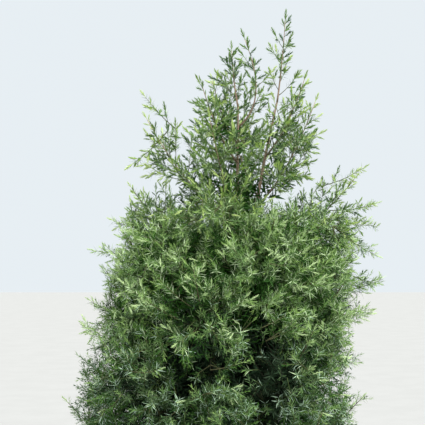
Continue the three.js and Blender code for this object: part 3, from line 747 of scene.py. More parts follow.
def short_shoots(crown, kinds, settings):
    """Short shoots along every path's outer part, round it or in a row to one side, and one at every tip or
    a tuft of three where the growth is bold. kinds are the paths with their masses. Returns the shoots'
    bases, ways, lengths, masses, tones and coolness."""
    rng, rows = crown.rng, []
    bold, open_top = crown.habits("size"), with_habit(crown.limbs, OPEN, PEAK, LEADER)
    for (paths, own), (begin, spacing, row_share) in zip(kinds, SHOOT_RUNS):
        lengths = path_lengths(paths)
        spacing = settings.shoot_step / MM * spacing * crown.habits("shoots")[own]
        index, order, number = places_along(lengths * (1 - begin) / spacing)
        mass, count = own[index], len(index)
        share = begin + (1 - begin) * (order + 0.2 + 0.6 * rng.random(count)) / number
        roll = GOLDEN_ANGLE * order + TURN * rng.random(len(paths))[index]
        mood, cool = TWIG_TONES * rng.random(len(paths)), rng.random(len(paths))
        level = np.abs(unit(paths[:, -1] - paths[:, 0])[:, 2]) < 0.5
        row = level & (rng.random(len(paths)) < row_share)
        mood[row] = ROW_TONE
        hanging = np.where(rng.random(len(paths)) < 0.6, -1, 1)
        tone = mood[index] + SHOOT_TONES * rng.random(count) + END_LIGHT * share
        point, ahead = stations_on(paths, index, np.minimum(share, SHOOT_END))
        forward = np.where(bold[mass] > 1, 0.75, 1.0) * rng.uniform(0.7, 1.35, count)
        out = towards(roll, *beside(ahead))
        out = np.where(row[index, None], hanging[index, None] * UP + 0.35 * out, out)
        away = unit(point * (1, 1, 0) - TOP_MIDDLE)
        lean = np.where(open_top[mass], 0.5, 0.0)[:, None]
        heading = unit(forward[:, None] * ahead + out + 0.12 * (1 - 2 * lean) * UP + lean * away)
        scale = bold[mass] * (1.1 - 0.3 * share) * rng.uniform(0.7, 1.25, count)
        rows.append((point, heading, scale, mass, np.zeros(count, bool), tone, cool[index]))
        tufts = np.where((bold[own] > TUFT_SIZE) & (lengths > TUFT_PATH), 3, 1)
        index = np.repeat(np.arange(len(paths)), tufts)
        last, count = np.r_[True, index[1:] != index[:-1]], len(index)
        tip, ahead = stations_on(paths, index, np.where(last, 1.0, rng.uniform(0.86, 0.97, count)))
        aside = unit(rng.normal(size=ahead.shape))
        ahead = np.where(last[:, None], ahead, unit(ahead + 0.6 * aside))
        tone = mood[index] + SHOOT_TONES * rng.random(count) + TIP_LIGHT
        scale = bold[own[index]] * rng.uniform(0.85, 1.2, count)
        rows.append((tip, ahead, scale, own[index], last, tone, cool[index]))
    base, heading, scale, own, last, tone, cool = joined(rows)
    length = settings.shoot_length / MM * scale
    reach = base + heading * length[:, None]
    held = crown.hold(reach, own, SHOOT_REACH * crown.habits("slack")[own], SHOOT_MARGIN) | last
    held &= rng.random(len(own)) < seen_share(reach, crown.dense[own])
    return picked(held & crown.in_box(reach), base, heading, length, own, tone, cool)


def open_whorls(crown, kinds):
    """Places for whorls of open needles along the twigs themselves: points, ways ahead and masses."""
    rows = []
    for (paths, own), (begin, spacing) in zip(kinds, WHORL_RUNS):
        index, order, number = places_along(path_lengths(paths) * (1 - begin) / spacing)
        rows.append((*stations_on(paths, index, begin + (1 - begin) * (order + 0.5) / number), own[index]))
    point, ahead, own = joined(rows)
    held = crown.rng.random(len(own)) < seen_share(point, crown.dense[own])
    return picked(held & crown.in_box(point + TIP_SHOOT * ahead), point, ahead, own)


def crown_places(bearing, height, share):
    """Points at bearings and heights, each at a share of the crown's reach there."""
    place = polar(1, bearing, height)
    place[:, :2] *= (share * crown_reach(place))[:, None]
    return place


def one_a_cell(place, cell):
    """The first of the places in each cell of a cubic grid."""
    return np.unique(np.floor(place / cell).astype(int), axis=0, return_index=True)[1]


def filling_twigs(crown, twigs, owner):
    """More first twigs, into the empty places of the crown's outer shell and of the right half of its open
    top. Of many places scattered there, those that are far from every first twig are kept, one to a cell,
    and a twig grows to each from the nearest point of the twigs of the mass whose stem is nearest."""
    rng = crown.rng
    bearing = rng.uniform(-math.pi, math.pi, FILL_TRIES)
    height = rng.uniform(*FILL_HEIGHTS, FILL_TRIES)
    bearing = np.concatenate([bearing, rng.uniform(*TOP_BEARINGS, TOP_TRIES)])
    height = np.concatenate([height, rng.uniform(*TOP_HEIGHTS, TOP_TRIES)])
    out = np.concatenate([rng.uniform(*FILL_OUT, FILL_TRIES), rng.uniform(*TOP_OUT, TOP_TRIES)])
    place = crown_places(bearing, height, out)
    near = crown.off_stems(place).argmin(1)
    leafy = ~with_habit(crown.limbs, LEADER)[near] & (in_hollow(place) < FILL_HOLLOW)
    place, near = picked(leafy, place, near)
    points = twigs.reshape(-1, 3)
    nearest, gap = closest(place, points, (near, np.repeat(owner, twigs.shape[1])))
    place, near, nearest = picked(gap > FILL_GAP, place, near, nearest)
    place, near, nearest = picked(one_a_cell(place, FILL_CELL), place, near, nearest)
    start = points[nearest]
    length = np.linalg.norm(place - start, axis=1)
    heading = unit(place - start - UP * (FILL_LIFT * length)[:, None])
    length = np.clip(length, *FILL_SPAN)
    length = fitted(crown, start, heading, length, FILL_LIFT, near, FILL_REACH, FILL_MARGIN)
    kept = length > FILL_LEAST
    return twig_paths(*picked(kept, start, heading, length), FILL_LIFT, 6), near[kept]


def slim_sprays(crown, twigs, owner):
    """Slim sprays to their own tips, each from a point of the nearest mass's twigs about one run away."""
    tips, points = np.array(SPRAY_TIPS, float), twigs.reshape(-1, 3)
    mass = crown.off_stems(tips).argmin(1)
    far = np.linalg.norm(tips[:, None] - points, axis=-1)
    able = off_axis(points) < off_axis(tips)[:, None] - 0.6 * SPRAY_RUN
    able &= np.repeat(owner, twigs.shape[1]) == mass[:, None]
    foot = points[np.where(able, np.abs(far - SPRAY_RUN), np.inf).argmin(1)]
    run = np.linalg.norm(tips - foot, axis=1)
    return twig_paths(foot, (tips - foot) / run[:, None] - SPRAY_BEND * UP, run, SPRAY_BEND, 6), mass


def in_hollow(points):
    """How deep each point lies in a hollow, from 0 outside to 1: a hollow is an oval on the crown's surface,
    carried in towards the trunk."""
    bearing = np.arctan2(points[:, 1], points[:, 0])
    deep = np.zeros(len(points))
    for turn, height, wide, tall in HOLLOWS:
        aside = np.remainder(bearing - math.radians(turn) + math.pi, TURN) - math.pi
        oval = np.hypot(aside * off_axis(points) / wide, (points[:, 2] - height) / tall)
        deep = np.maximum(deep, 1 - smooth(0.75, 1.25, oval))
    return deep


def seen_share(points, dense):
    """How much of the fine growth stands at a point. In dense masses that is all of it in the outer shell of
    the crown, less and less towards the middle and next to none in a hollow, and in open masses all of it
    but for a narrow gap in front of each leader."""
    gap = np.zeros(len(points))
    for _, line in STEMS:
        x, y, z = line.walk(0, 1, 80).T
        aside = np.abs(points[:, 0] - np.interp(points[:, 2], z, x))
        before = points[:, 1] < np.interp(points[:, 2], z, y)
        gap = np.maximum(gap, before * (1 - smooth(*GAP_HALF, aside)))
    gap *= smooth(*GAP_FOOT, points[:, 2]) * (1 - smooth(*GAP_HEAD, points[:, 2]))
    inner = DEEP_SHARE + (1 - DEEP_SHARE) * smooth(*SEEN_RISE, crown_share(points))
    return np.where(dense, inner * (1 - HOLLOW_TAKES * in_hollow(points)), 1 - GAP_TAKES * gap)


def young_at(points, young, rng):
    """Which points carry young growth: those of the young masses, but few at the foot of the upper tier and
    more and more up to its top."""
    return young & (rng.random(len(points)) < smooth(*YOUNG_RISE, points[:, 2]))


def shaded_spurs(crown, twigs):
    """The short shaded spurs inside the crown: round the trunk, the leader, the boughs, the inner part of
    each mass's stem and the inner part of its first twigs, and to the places inside that stay empty.
    Returns their paths, and the points and ways ahead of the whorls on them."""
    (_, trunk), (_, leader) = STEMS
    dense = [limb.line for limb in crown.limbs if limb.habit is DENSE]
    upper = [limb.line for limb in crown.limbs if limb.habit in (UPPER, OPEN, PEAK)]
    carriers = {"trunk": [trunk], "leader": [leader], "dense": dense, "upper": upper}
    rng, rows = crown.rng, []
    for carrier, low, high, count, span in SPUR_RUNS:
        for line in carriers[carrier]:
            share = low + (high - low) * (np.arange(count) + rng.random(count)) / count
            way = unit(line.at(share + 0.01) - line.at(share - 0.01))
            rows.append((line.at(share), way, span * rng.uniform(0.6, 1.2, count)))
    index = np.repeat(np.arange(len(twigs)), TWIG_SPURS)
    point, ahead = stations_on(twigs, index, rng.uniform(*TWIG_SPUR_PART, len(index)))
    rows.append((point, ahead, rng.uniform(*TWIG_SPUR_SPAN, len(index))))
    point, ahead, length = joined(rows)
    roll = GOLDEN_ANGLE * np.arange(len(point)) + rng.uniform(-0.4, 0.4, len(point))
    heading = fan(ahead, roll, *SPUR_FAN)
    paths = twig_paths(point, heading, length, rng.uniform(-0.1, 0.35, len(point)), 3)

    # Spurs to the empty places inside, from the nearest point of the wood
    bearing = rng.uniform(-math.pi, math.pi, SPUR_TRIES)
    height = rng.uniform(*SPUR_HEIGHTS, SPUR_TRIES)
    place = crown_places(bearing, height, rng.uniform(*SPUR_OUT, SPUR_TRIES))
    wood = [trunk.walk(0.1, 0.7, 60), leader.walk(0, 0.3, 12), twigs.reshape(-1, 3)]
    wood = np.concatenate(wood + [line.walk(0, 0.8, 24) for line in dense])
    place = place[closest(place, paths[:, 1:].reshape(-1, 3))[1] > SPUR_GAP]
    place = place[one_a_cell(place, SPUR_CELL)]
    foot = wood[closest(place, wood)[0]]
    length = np.maximum(np.linalg.norm(place - foot, axis=1), 1) + 16
    paths = np.concatenate([paths, twig_paths(foot, unit(place - foot), length, 0.0, 3)])
    tip = paths[:, -1]
    paths = paths[(off_axis(tip) < SPUR_REACH * crown_reach(tip)) & (tip[:, 2] > SPUR_LOWEST)]
    span = np.linalg.norm(paths[:, -1] - paths[:, 0], axis=1)
    index, order, number = places_along(span / SPUR_STEP, 2)
    return paths, *stations_on(paths, index, 0.1 + 0.9 * (order + 0.5) / number)


# ---------------------------------------------------------------- meshes from arrays


def put_down(name, points, faces, slot, material=None, smooth_faces=True):
    """A new piece at the origin, from points in millimetres and faces of one size, riding on the root where
    it has a slot."""
    mesh = bpy.data.meshes.new(name)
    mesh.vertices.add(len(points))
    mesh.vertices.foreach_set("co", (points * MM).astype(np.float32).ravel())
    mesh.loops.add(faces.size)
    mesh.loops.foreach_set("vertex_index", faces.astype(np.int32).ravel())
    mesh.polygons.add(len(faces))
    mesh.polygons.foreach_set("loop_start", np.arange(0, faces.size, faces.shape[1], dtype=np.int32))
    mesh.polygons.foreach_set("use_smooth", np.full(len(faces), smooth_faces))
    mesh.update(calc_edges=True)
    if material:
        mesh.materials.append(material)
    piece = bpy.data.objects.new(name, mesh)
    bpy.context.scene.collection.objects.link(piece)
    if slot:
        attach(piece, "root")
    return piece


def stacked(shapes):
    """Several (points, faces) pairs as one, each one's faces counted on from the last one's points."""
    offsets = np.cumsum([0] + [len(points) for points, _ in shapes[:-1]])
    points = np.concatenate([points for points, _ in shapes])
    faces = np.concatenate([faces + offset for (_, faces), offset in zip(shapes, offsets)])
    return points, faces


def repeated(points, pattern):
    """Many like shapes as one mesh: points by shape, and a shape's faces counted on for each."""
    count, corners = points.shape[:2]
    faces = np.asarray(pattern)[None] + (corners * np.arange(count))[:, None, None]
    return points.reshape(-1, 3), faces.reshape(-1, faces.shape[-1])


def walls_of(rings, sides):
    """The triangles between the rings of a grid that closes on itself, and the grid's point numbers."""
    place = np.arange(rings * sides).reshape(rings, sides)
    a, b = place[:-1], np.roll(place[:-1], -1, axis=1)
    c, d = np.roll(place[1:], -1, axis=1), place[1:]
    walls = [np.stack([a, b, c], -1).reshape(-1, 3), np.stack([a, c, d], -1).reshape(-1, 3)]
    return np.concatenate(walls), place


def closed_walls(rings, sides):
    """The same triangles with both ends closed by flat fans."""
    walls, place = walls_of(rings, sides)
    k = np.arange(1, sides - 1)
    root, tip = np.stack([0 * k, k + 1, k], -1), np.stack([0 * k, k, k + 1], -1)
    return np.concatenate([walls, root, tip + place[-1, 0]])


def rest_axis(axis):
    """A direction well off each axis: up, or X where the axis itself is steep."""
    return np.where(np.abs(axis[:, 2:]) > 0.9, [[1.0, 0.0, 0.0]], [[0.0, 0.0, 1.0]])


def round_about(axis):
    """Two directions square to each axis and to each other."""
    side = unit(np.cross(rest_axis(axis), axis))
    return side, np.cross(axis, side)


def tubes(paths, radii, sides):
    """Closed tubes along paths: a ring of points at every station, path + r (side cos a + up sin a), joined
    by triangles, with both ends closed by flat fans."""
    count, stations, _ = paths.shape
    ahead = unit(np.gradient(paths, axis=1))
    side = unit(np.cross(rest_axis(unit(paths[:, -1] - paths[:, 0]))[:, None], ahead))
    above = np.cross(ahead, side)
    turn = np.linspace(0, TURN, sides, endpoint=False)
    points = paths[:, :, None] + radii[:, :, None, None] * towards(turn, side[:, :, None], above[:, :, None])
    return repeated(points.reshape(count, -1, 3), closed_walls(stations, sides))


def spikes(base, heading, length, radius):
    """Slim three-sided spikes: a ring of three points at the base, drawn to one point at the tip."""
    side, above = round_about(heading)
    turn = np.linspace(0, TURN, 3, endpoint=False)
    ring = base[:, None] - radius * towards(turn, side[:, None], above[:, None])
    points = np.concatenate([ring, (base + heading * length[:, None])[:, None]], axis=1)
    return repeated(points, [[0, 3, 1], [1, 3, 2], [2, 3, 0], [0, 1, 2]])


def needles(roots, ahead, outward, length, width, widest):
    """Awl-shaped needles in two folded faces: root, two edges at their widest share of the length, and a
    sharp tip. The edges stand in from the keel by 0.35 of the width, so the inner face is a channel."""
    edge = unit(np.cross(ahead, outward)) * (0.5 * width)[:, None]
    third = roots + ahead * (widest * length)[:, None] - outward * (0.35 * width)[:, None]
    points = np.stack([roots, third - edge, roots + ahead * length[:, None], third + edge], axis=1)
    return repeated(points, [[0, 2, 1], [0, 3, 2]])


def whorls_on(base, heading, length, form, long, broad, rng):
    """Needles in whorls of three along short shoots of a form. Each leaves the axis at an angle that closes
    from the lowest whorl to the last, and every whorl is turned a sixth from the one below it."""
    side, above = round_about(heading)
    w = np.arange(form.whorls)
    share = form.first + (form.last - form.first) * (w + 0.5) / form.whorls
    spin = TURN * rng.random(len(base))
    turn = spin[:, None, None] + (w * math.pi / 3)[:, None] + np.arange(3) * TURN / 3
    turn = turn + rng.uniform(-0.25, 0.25, turn.shape)
    out = towards(turn, side[:, None, None], above[:, None, None])
    angle = (form.low + (form.high - form.low) * (w / max(form.whorls - 1, 1)))[:, None]
    angle = angle * rng.uniform(0.75, 1.25, turn.shape)
    axis = heading[:, None, None]
    roots = base[:, None, None] + axis * (share[:, None] * length[:, None, None])[..., None]
    ways = (np.broadcast_to(roots, out.shape), towards(angle, axis, out), towards(angle, out, -axis))
    long = long * (1.08 - 0.28 * share)[:, None] * rng.uniform(0.85, 1.15, turn.shape)
    broad = broad * rng.uniform(0.85, 1.15, turn.shape)
    return needles(*(way.reshape(-1, 3) for way in ways), long.ravel(), broad.ravel(), form.widest)


def value_noise(u, v, columns, rows, rng):
    """Soft noise on a grid: a random number at each lattice point, blended by smooth steps. It closes on
    itself every whole turn of u."""
    lattice = rng.random((columns, rows + 2))
    x, y = np.mod(u, 1) * columns, np.clip(v, 0, 1) * rows
    i, j = np.floor(x).astype(int), np.floor(y).astype(int)
    fx, fy = smooth(0, 1, x - i), smooth(0, 1, y - j)
    left, right = i % columns, (i + 1) % columns
    low, high = (lattice[left, row] * (1 - fx) + lattice[right, row] * fx for row in (j, j + 1))
    return low * (1 - fy) + high * fy


def bark_tube(line, radius_at, begin, finish, sides, stations, relief, rng):
    """A limb with stringy bark: a grid of bearing by share of length, at line + r out, where r is the
    radius and long ridges that wander round the limb, thin strips and fine grain. Returns the points, the
    faces and how high each point's bark stands."""
    share = np.linspace(begin, finish, stations)
    paths = line.at(share)
    ahead = unit(np.gradient(paths, axis=0))
    side = unit(np.cross(np.array([0.0, 1.0, 0.0]), ahead))
    turn = np.linspace(0, 1, sides, endpoint=False)
    u, v = np.meshgrid(turn, (share - begin) / (finish - begin), indexing="xy")
    span = line.length * (finish - begin)

    def noise(aside, columns, patch):
        """Smooth noise turned aside round the limb: so many patches round it, each so many mm long."""
        return value_noise(u + aside, v, columns, max(int(span / patch), 2), rng)

    wander = 0.05 * noise(0, 3, 60) + 0.25 * v
    ridge, strip, grain = noise(wander, 22, 70), noise(1.4 * wander, 46, 34), noise(wander, sides // 2, 7)
    height = 0.55 * smooth(0.3, 0.7, ridge) + 0.3 * smooth(0.35, 0.6, strip) + 0.15 * grain
    radius = radius_at(share[:, None], TURN * turn)
    radius = radius + relief * np.clip(radius / TRUNK.foot_radius, 0.12, 1.1) * (height - 0.5)
    ring = towards(TURN * u, side[:, None], np.cross(ahead, side)[:, None])
    points = paths[:, None] + radius[..., None] * ring
    return points.reshape(-1, 3), closed_walls(stations, sides), height.ravel()


def rounded(profile, radius, steps):
    """A profile of straight runs with every inner corner turned into an arc: two points are set back from
    the corner by the radius, and joined by a quadratic curve."""
    profile = np.array(profile, float)
    before, corner, after = profile[:-2], profile[1:-1], profile[2:]
    shorter = np.minimum(*(np.linalg.norm(end - corner, axis=1) for end in (before, after)))
    back = np.minimum(radius, 0.45 * shorter)[:, None]
    start, end = (corner + unit(end - corner) * back for end in (before, after))
    t = np.linspace(0, 1, steps)[None, :, None]
    arcs = (1 - t) ** 2 * start[:, None] + 2 * t * (1 - t) * corner[:, None] + t**2 * end[:, None]
    return np.concatenate([profile[:1], arcs.reshape(-1, 2), profile[-1:]])


def divided(profile, longest):
    """The same profile with its long runs cut into pieces no longer than a given length."""
    parts = [profile[:1]]
    for start, end in zip(profile[:-1], profile[1:]):
        pieces = max(int(math.ceil(np.linalg.norm(end - start) / longest)), 1)
        parts.append(start + (end - start) * (np.arange(1, pieces + 1) / pieces)[:, None])
    return np.concatenate(parts)


def turned(profile, sides, height_of=None):
    """A surface turned about +Z: (r cos a, r sin a, z) for every point of the profile and bearing a. The
    first and last points lie on the axis and are single. height_of adds a height to each point."""
    bearing = np.linspace(0, TURN, sides, endpoint=False)
    radius, z = profile[1:-1, 0][:, None], profile[1:-1, 1][:, None]
    grid = polar(radius, bearing, z + 0 * bearing)
    ends = np.array([[0, 0, profile[0, 1]], [0, 0, profile[-1, 1]]], float)
    if height_of:
        grid[..., 2] += height_of(grid)
        ends[1, 2] += grid[-1, :, 2].mean() - profile[-2, 1]
    walls, place = walls_of(len(grid), sides)
    first, last, pole = place[0], place[-1], np.full(sides, place.size)
    bottom = np.stack([pole, np.roll(first, -1), first], -1)
    top = np.stack([pole + 1, last, np.roll(last, -1)], -1)
    return np.concatenate([grid.reshape(-1, 3), ends]), np.concatenate([walls, bottom, top])


# ---------------------------------------------------------------- finishes

WHITE, BLACK, EVEN = (1, 1, 1), (0, 0, 0), (1, 1, 1)


def feed(tree, socket, value):
    """Links a socket to another's output, or sets it. A colour is given as three numbers."""
    if isinstance(value, bpy.types.NodeSocket):
        tree.links.new(value, socket)
    else:
        socket.default_value = (*value, 1) if socket.type == "RGBA" else value


def add_node(tree, kind, sockets, **settings):
    """A new shader node with its settings and its sockets fed. Returns its outputs."""
    node = tree.nodes.new("ShaderNode" + kind)
    for key, value in settings.items():
        setattr(node, key, value)
    for label, value in sockets.items():
        feed(tree, node.inputs[label], value)
    return node.outputs


def mottle_group():
    """Soft patches of two colours: stretched noise at two sizes, pushed apart by a contrast. The group is
    made the first time it is asked for."""
    if "mottle" in bpy.data.node_groups:
        return bpy.data.node_groups["mottle"]
    group = bpy.data.node_groups.new("mottle", "ShaderNodeTree")
    for label, kind, value in (
        ("Vector", "Vector", None),
        ("Light", "Color", (0.5, 0.5, 0.5, 1)),
        ("Dark", "Color", (0.2, 0.2, 0.2, 1)),
        ("Scale", "Float", 20.0),
        ("Stretch", "Vector", (1, 1, 1)),
        ("Low", "Float", 0.35),
        ("High", "Float", 0.65),
    ):
        socket = group.interface.new_socket(label, in_out="INPUT", socket_type="NodeSocket" + kind)
        if value is not None:
            socket.default_value = value
    group.interface.new_socket("Color", in_out="OUTPUT", socket_type="NodeSocketColor")
    group.interface.new_socket("Mask", in_out="OUTPUT", socket_type="NodeSocketFloat")
    given, result = group.nodes.new("NodeGroupInput").outputs, group.nodes.new("NodeGroupOutput").inputs
    stretch = add_node(group, "VectorMath", {0: given["Vector"], 1: given["Stretch"]}, operation="MULTIPLY")
    noise = {"Vector": stretch[0], "Scale": given["Scale"], "Detail": 5, "Roughness": 0.62}
    noise = add_node(group, "TexNoise", noise)
    ramp = {"Value": noise["Fac"], "From Min": given["Low"], "From Max": given["High"]}
    ramp = add_node(group, "MapRange", ramp, interpolation_type="SMOOTHSTEP")
    mix = {"Factor": ramp["Result"], "A": given["Dark"], "B": given["Light"]}
    mix = add_node(group, "Mix", mix, data_type="RGBA")
    feed(group, result["Color"], mix["Result"])
    feed(group, result["Mask"], ramp["Result"])
    return group


class Finish:
    """A material under way: its node tree, its principled shader and short ways to add nodes."""

    def __init__(self, name, roughness, specular=0.4):
        self.material = bpy.data.materials.new(name)
        self.material.use_nodes = True
        self.tree = self.material.node_tree
        self.shader = self.tree.nodes["Principled BSDF"]
        self.shader.inputs["Roughness"].default_value = roughness
        self.shader.inputs["Specular IOR Level"].default_value = specular
        self.place = add_node(self.tree, "TexCoord", {})["Object"]

    def mottle(self, light, dark, scale, stretch=EVEN, low=0.35, high=0.65):
        """A light and a dark colour in patches, and the patches' mask."""
        sockets = {"Vector": self.place, "Light": light, "Dark": dark, "Scale": scale}
        sockets.update({"Stretch": stretch, "Low": low, "High": high})
        node = add_node(self.tree, "Group", sockets, node_tree=mottle_group())
        return node["Color"], node["Mask"]

    def mix(self, share, a, b):
        """The colour (1 - share) a + share b."""
        return add_node(self.tree, "Mix", {"Factor": share, "A": a, "B": b}, data_type="RGBA")["Result"]

    def ramp(self, value, low, high, to_high=1.0):
        """A smooth step of the value from 0 at low to to_high at high."""
        sockets = {"Value": value, "From Min": low, "From Max": high, "To Min": 0.0, "To Max": to_high}
        return add_node(self.tree, "MapRange", sockets, interpolation_type="SMOOTHSTEP")["Result"]

    def height(self):
        """The height of the shaded point above the floor, in metres."""
        return add_node(self.tree, "SeparateXYZ", {0: self.place})["Z"]

    def bump(self, value, distance, strength):
        """Tilts the surface's normal by the slope of the value."""
        bump = add_node(self.tree, "Bump", {"Distance": distance, "Strength": strength, "Height": value})
        feed(self.tree, self.shader.inputs["Normal"], bump["Normal"])

    def colour(self, value):
        """Gives the shader its base colour, and returns the finished material."""
        feed(self.tree, self.shader.inputs["Base Color"], value)
        return self.material


def needle_finish(name, base, silver, share):
    """Waxy needle: fine light and dark patches on the outer face, and a paler inner face."""
    finish = Finish(name, 0.55, 0.13)
    base = np.array(base)
    outer, _ = finish.mottle(base * 1.16, base * 0.82, 260)
    back = add_node(finish.tree, "NewGeometry", {})["Backfacing"]
    return finish.colour(finish.mix(back, outer, base * (1 - share) + np.array(silver) * share))


def flecked_finish(name, roughness, specular, light, dark, scale, stretch, depth, strength):
    """Flecks of two colours with the same flecks in relief: thin matt bark, bark chips or crumbs."""
    finish = Finish(name, roughness, specular)
    colour, mask = finish.mottle(light, dark, scale, stretch)
    finish.bump(mask, depth, strength)
    return finish.colour(colour)


def twig_finish(name, light, dark):
    """Thin bark of a twig: lengthwise flecks of two colours, matt."""
    return flecked_finish(name, 0.7, 0.25, light, dark, 420, (1, 1, 0.5), 0.0003, 0.4)


def bark_finish(settings):
    """Stringy bark: grey-brown on the ridges low down and pinkish tan higher up, with long fibres in relief.
    The furrows are darker: low down the bark's own red-brown with painted shade on it, higher up painted
    shade alone."""
    finish = Finish("stringy_bark", 0.85, 0.2)
    strings = (1, 1, 0.07)
    old, young = np.array(settings.old_bark), np.array(settings.young_bark)
    low, _ = finish.mottle(old * 1.5, old * 0.7, 260, strings)
    high, _ = finish.mottle(young * 1.25, young * 0.75, 300, strings)
    climb = finish.ramp(finish.height(), 1.0, 1.4)
    colour = finish.mix(climb, low, high)
    relief = add_node(finish.tree, "Attribute", {}, attribute_name="bark_height")["Fac"]
    furrow = finish.ramp(relief, 0.15, 0.6)
    # Painted shade darkens the furrows: low down over the bark's own red-brown, higher up by itself
    deep = finish.mix(climb, old * (0.55, 0.42, 0.38), young * 0.62)
    colour = finish.mix(furrow, deep, colour)
    _, fibre = finish.mottle(WHITE, BLACK, 900, strings, 0.3, 0.7)
    finish.bump(fibre, 0.0006, 0.5)
    return finish.colour(colour)


def terracotta_finish(settings):
    """Weathered terracotta: firing patches, fine clay grain, a pale bloom of lime low on the wall, and faint
    pale streaks."""
    finish = Finish("weathered_terracotta", 0.88, 0.25)
    clay = np.array(settings.clay)
    body, _ = finish.mottle(clay * 1.14, clay * 0.84, 9)
    grain, fine = finish.mottle(body, clay * 0.7, 330, EVEN, 0.3, 0.48)
    low = finish.ramp(finish.height(), 0.19, 0.02)
    _, patch = finish.mottle(WHITE, BLACK, 17, (1, 1, 1.6), 0.5, 0.72)
    bloom = add_node(finish.tree, "Math", {0: low, 1: patch}, operation="MULTIPLY")[0]
    colour = finish.mix(bloom, grain, (0.56, 0.45, 0.37))
    _, streak = finish.mottle(WHITE, BLACK, 26, (1, 1, 0.25), 0.56, 0.8)
    colour = finish.mix(finish.ramp(streak, 0.0, 1.0, 0.45), colour, (0.6, 0.47, 0.38))
    finish.bump(fine, 0.0004, 0.35)
    return finish.colour(colour)


# ---------------------------------------------------------------- operators


def pot_inside(height):
    """The radius of the pot's inner wall at a height."""
    slope = (POT_NECK_RADIUS - POT_BASE_RADIUS) / (POT_HEIGHT - POT_RIM_BAND - 2 * POT_EDGE)
    return POT_BASE_RADIUS + (height - POT_EDGE) * slope - POT_WALL


class JUNIPER_OT_pot(bpy.types.Operator):
    """Turns the pot with soft edges, throwing rings and drain holes."""

    bl_idname = "juniper.pot"
    bl_label = "Pot"

    def execute(self, context):
        settings = context.scene.juniper_pot
        band = POT_HEIGHT - POT_RIM_BAND
        profile = [
            (0, 0),
            (POT_BASE_RADIUS - 1, 0),
            (POT_BASE_RADIUS, POT_EDGE),
            (POT_NECK_RADIUS, band - POT_EDGE),
            (POT_RIM_RADIUS - 1, band),
            (POT_RIM_RADIUS + 1, POT_HEIGHT - 2),
            (POT_RIM_RADIUS - 3, POT_HEIGHT),
            (pot_inside(POT_HEIGHT) + 4, POT_HEIGHT),
            (pot_inside(POT_HEIGHT - 5), POT_HEIGHT - 6),
            (pot_inside(POT_FLOOR), POT_FLOOR),
            (0, POT_FLOOR),
        ]
        profile = divided(rounded(profile, 4.5, 6), 7.0)
        radius, z = profile.T
        rings = sum(np.sin(z * steep + start) * share for steep, start, share in RING_WAVES)
        wall = smooth(0, 12, z) * (radius > 120)
        profile[:, 0] = radius + settings.ring_depth / MM * rings * wall
        pot = put_down("pot_terracotta", *turned(profile, 128), "terracotta")
        bearing = (np.arange(DRAIN_COUNT) + 0.5) / DRAIN_COUNT * TURN
        centre = polar(DRAIN_CIRCLE_RADIUS, bearing, 0 * bearing)
        drill = np.stack([centre - 20 * UP, centre + 40 * UP], axis=1)
        drill = tubes(drill, np.full((DRAIN_COUNT, 2), float(DRAIN_RADIUS)), 24)
        cutter = put_down("drain_drill", *drill, None)
        cut = pot.modifiers.new("drain_holes", "BOOLEAN")
        cut.operation = "DIFFERENCE"
        cut.solver = "EXACT"
        cut.object = cutter
        context.view_layer.update()
        mesh = bpy.data.meshes.new_from_object(pot.evaluated_get(context.evaluated_depsgraph_get()))
        pot.modifiers.clear()
        pot.data = mesh
        bpy.data.objects.remove(cutter)
        mesh.materials.clear()
        mesh.materials.append(terracotta_finish(settings))
        mesh.set_sharp_from_angle(angle=math.radians(40))
        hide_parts("pot")
        return {"FINISHED"}


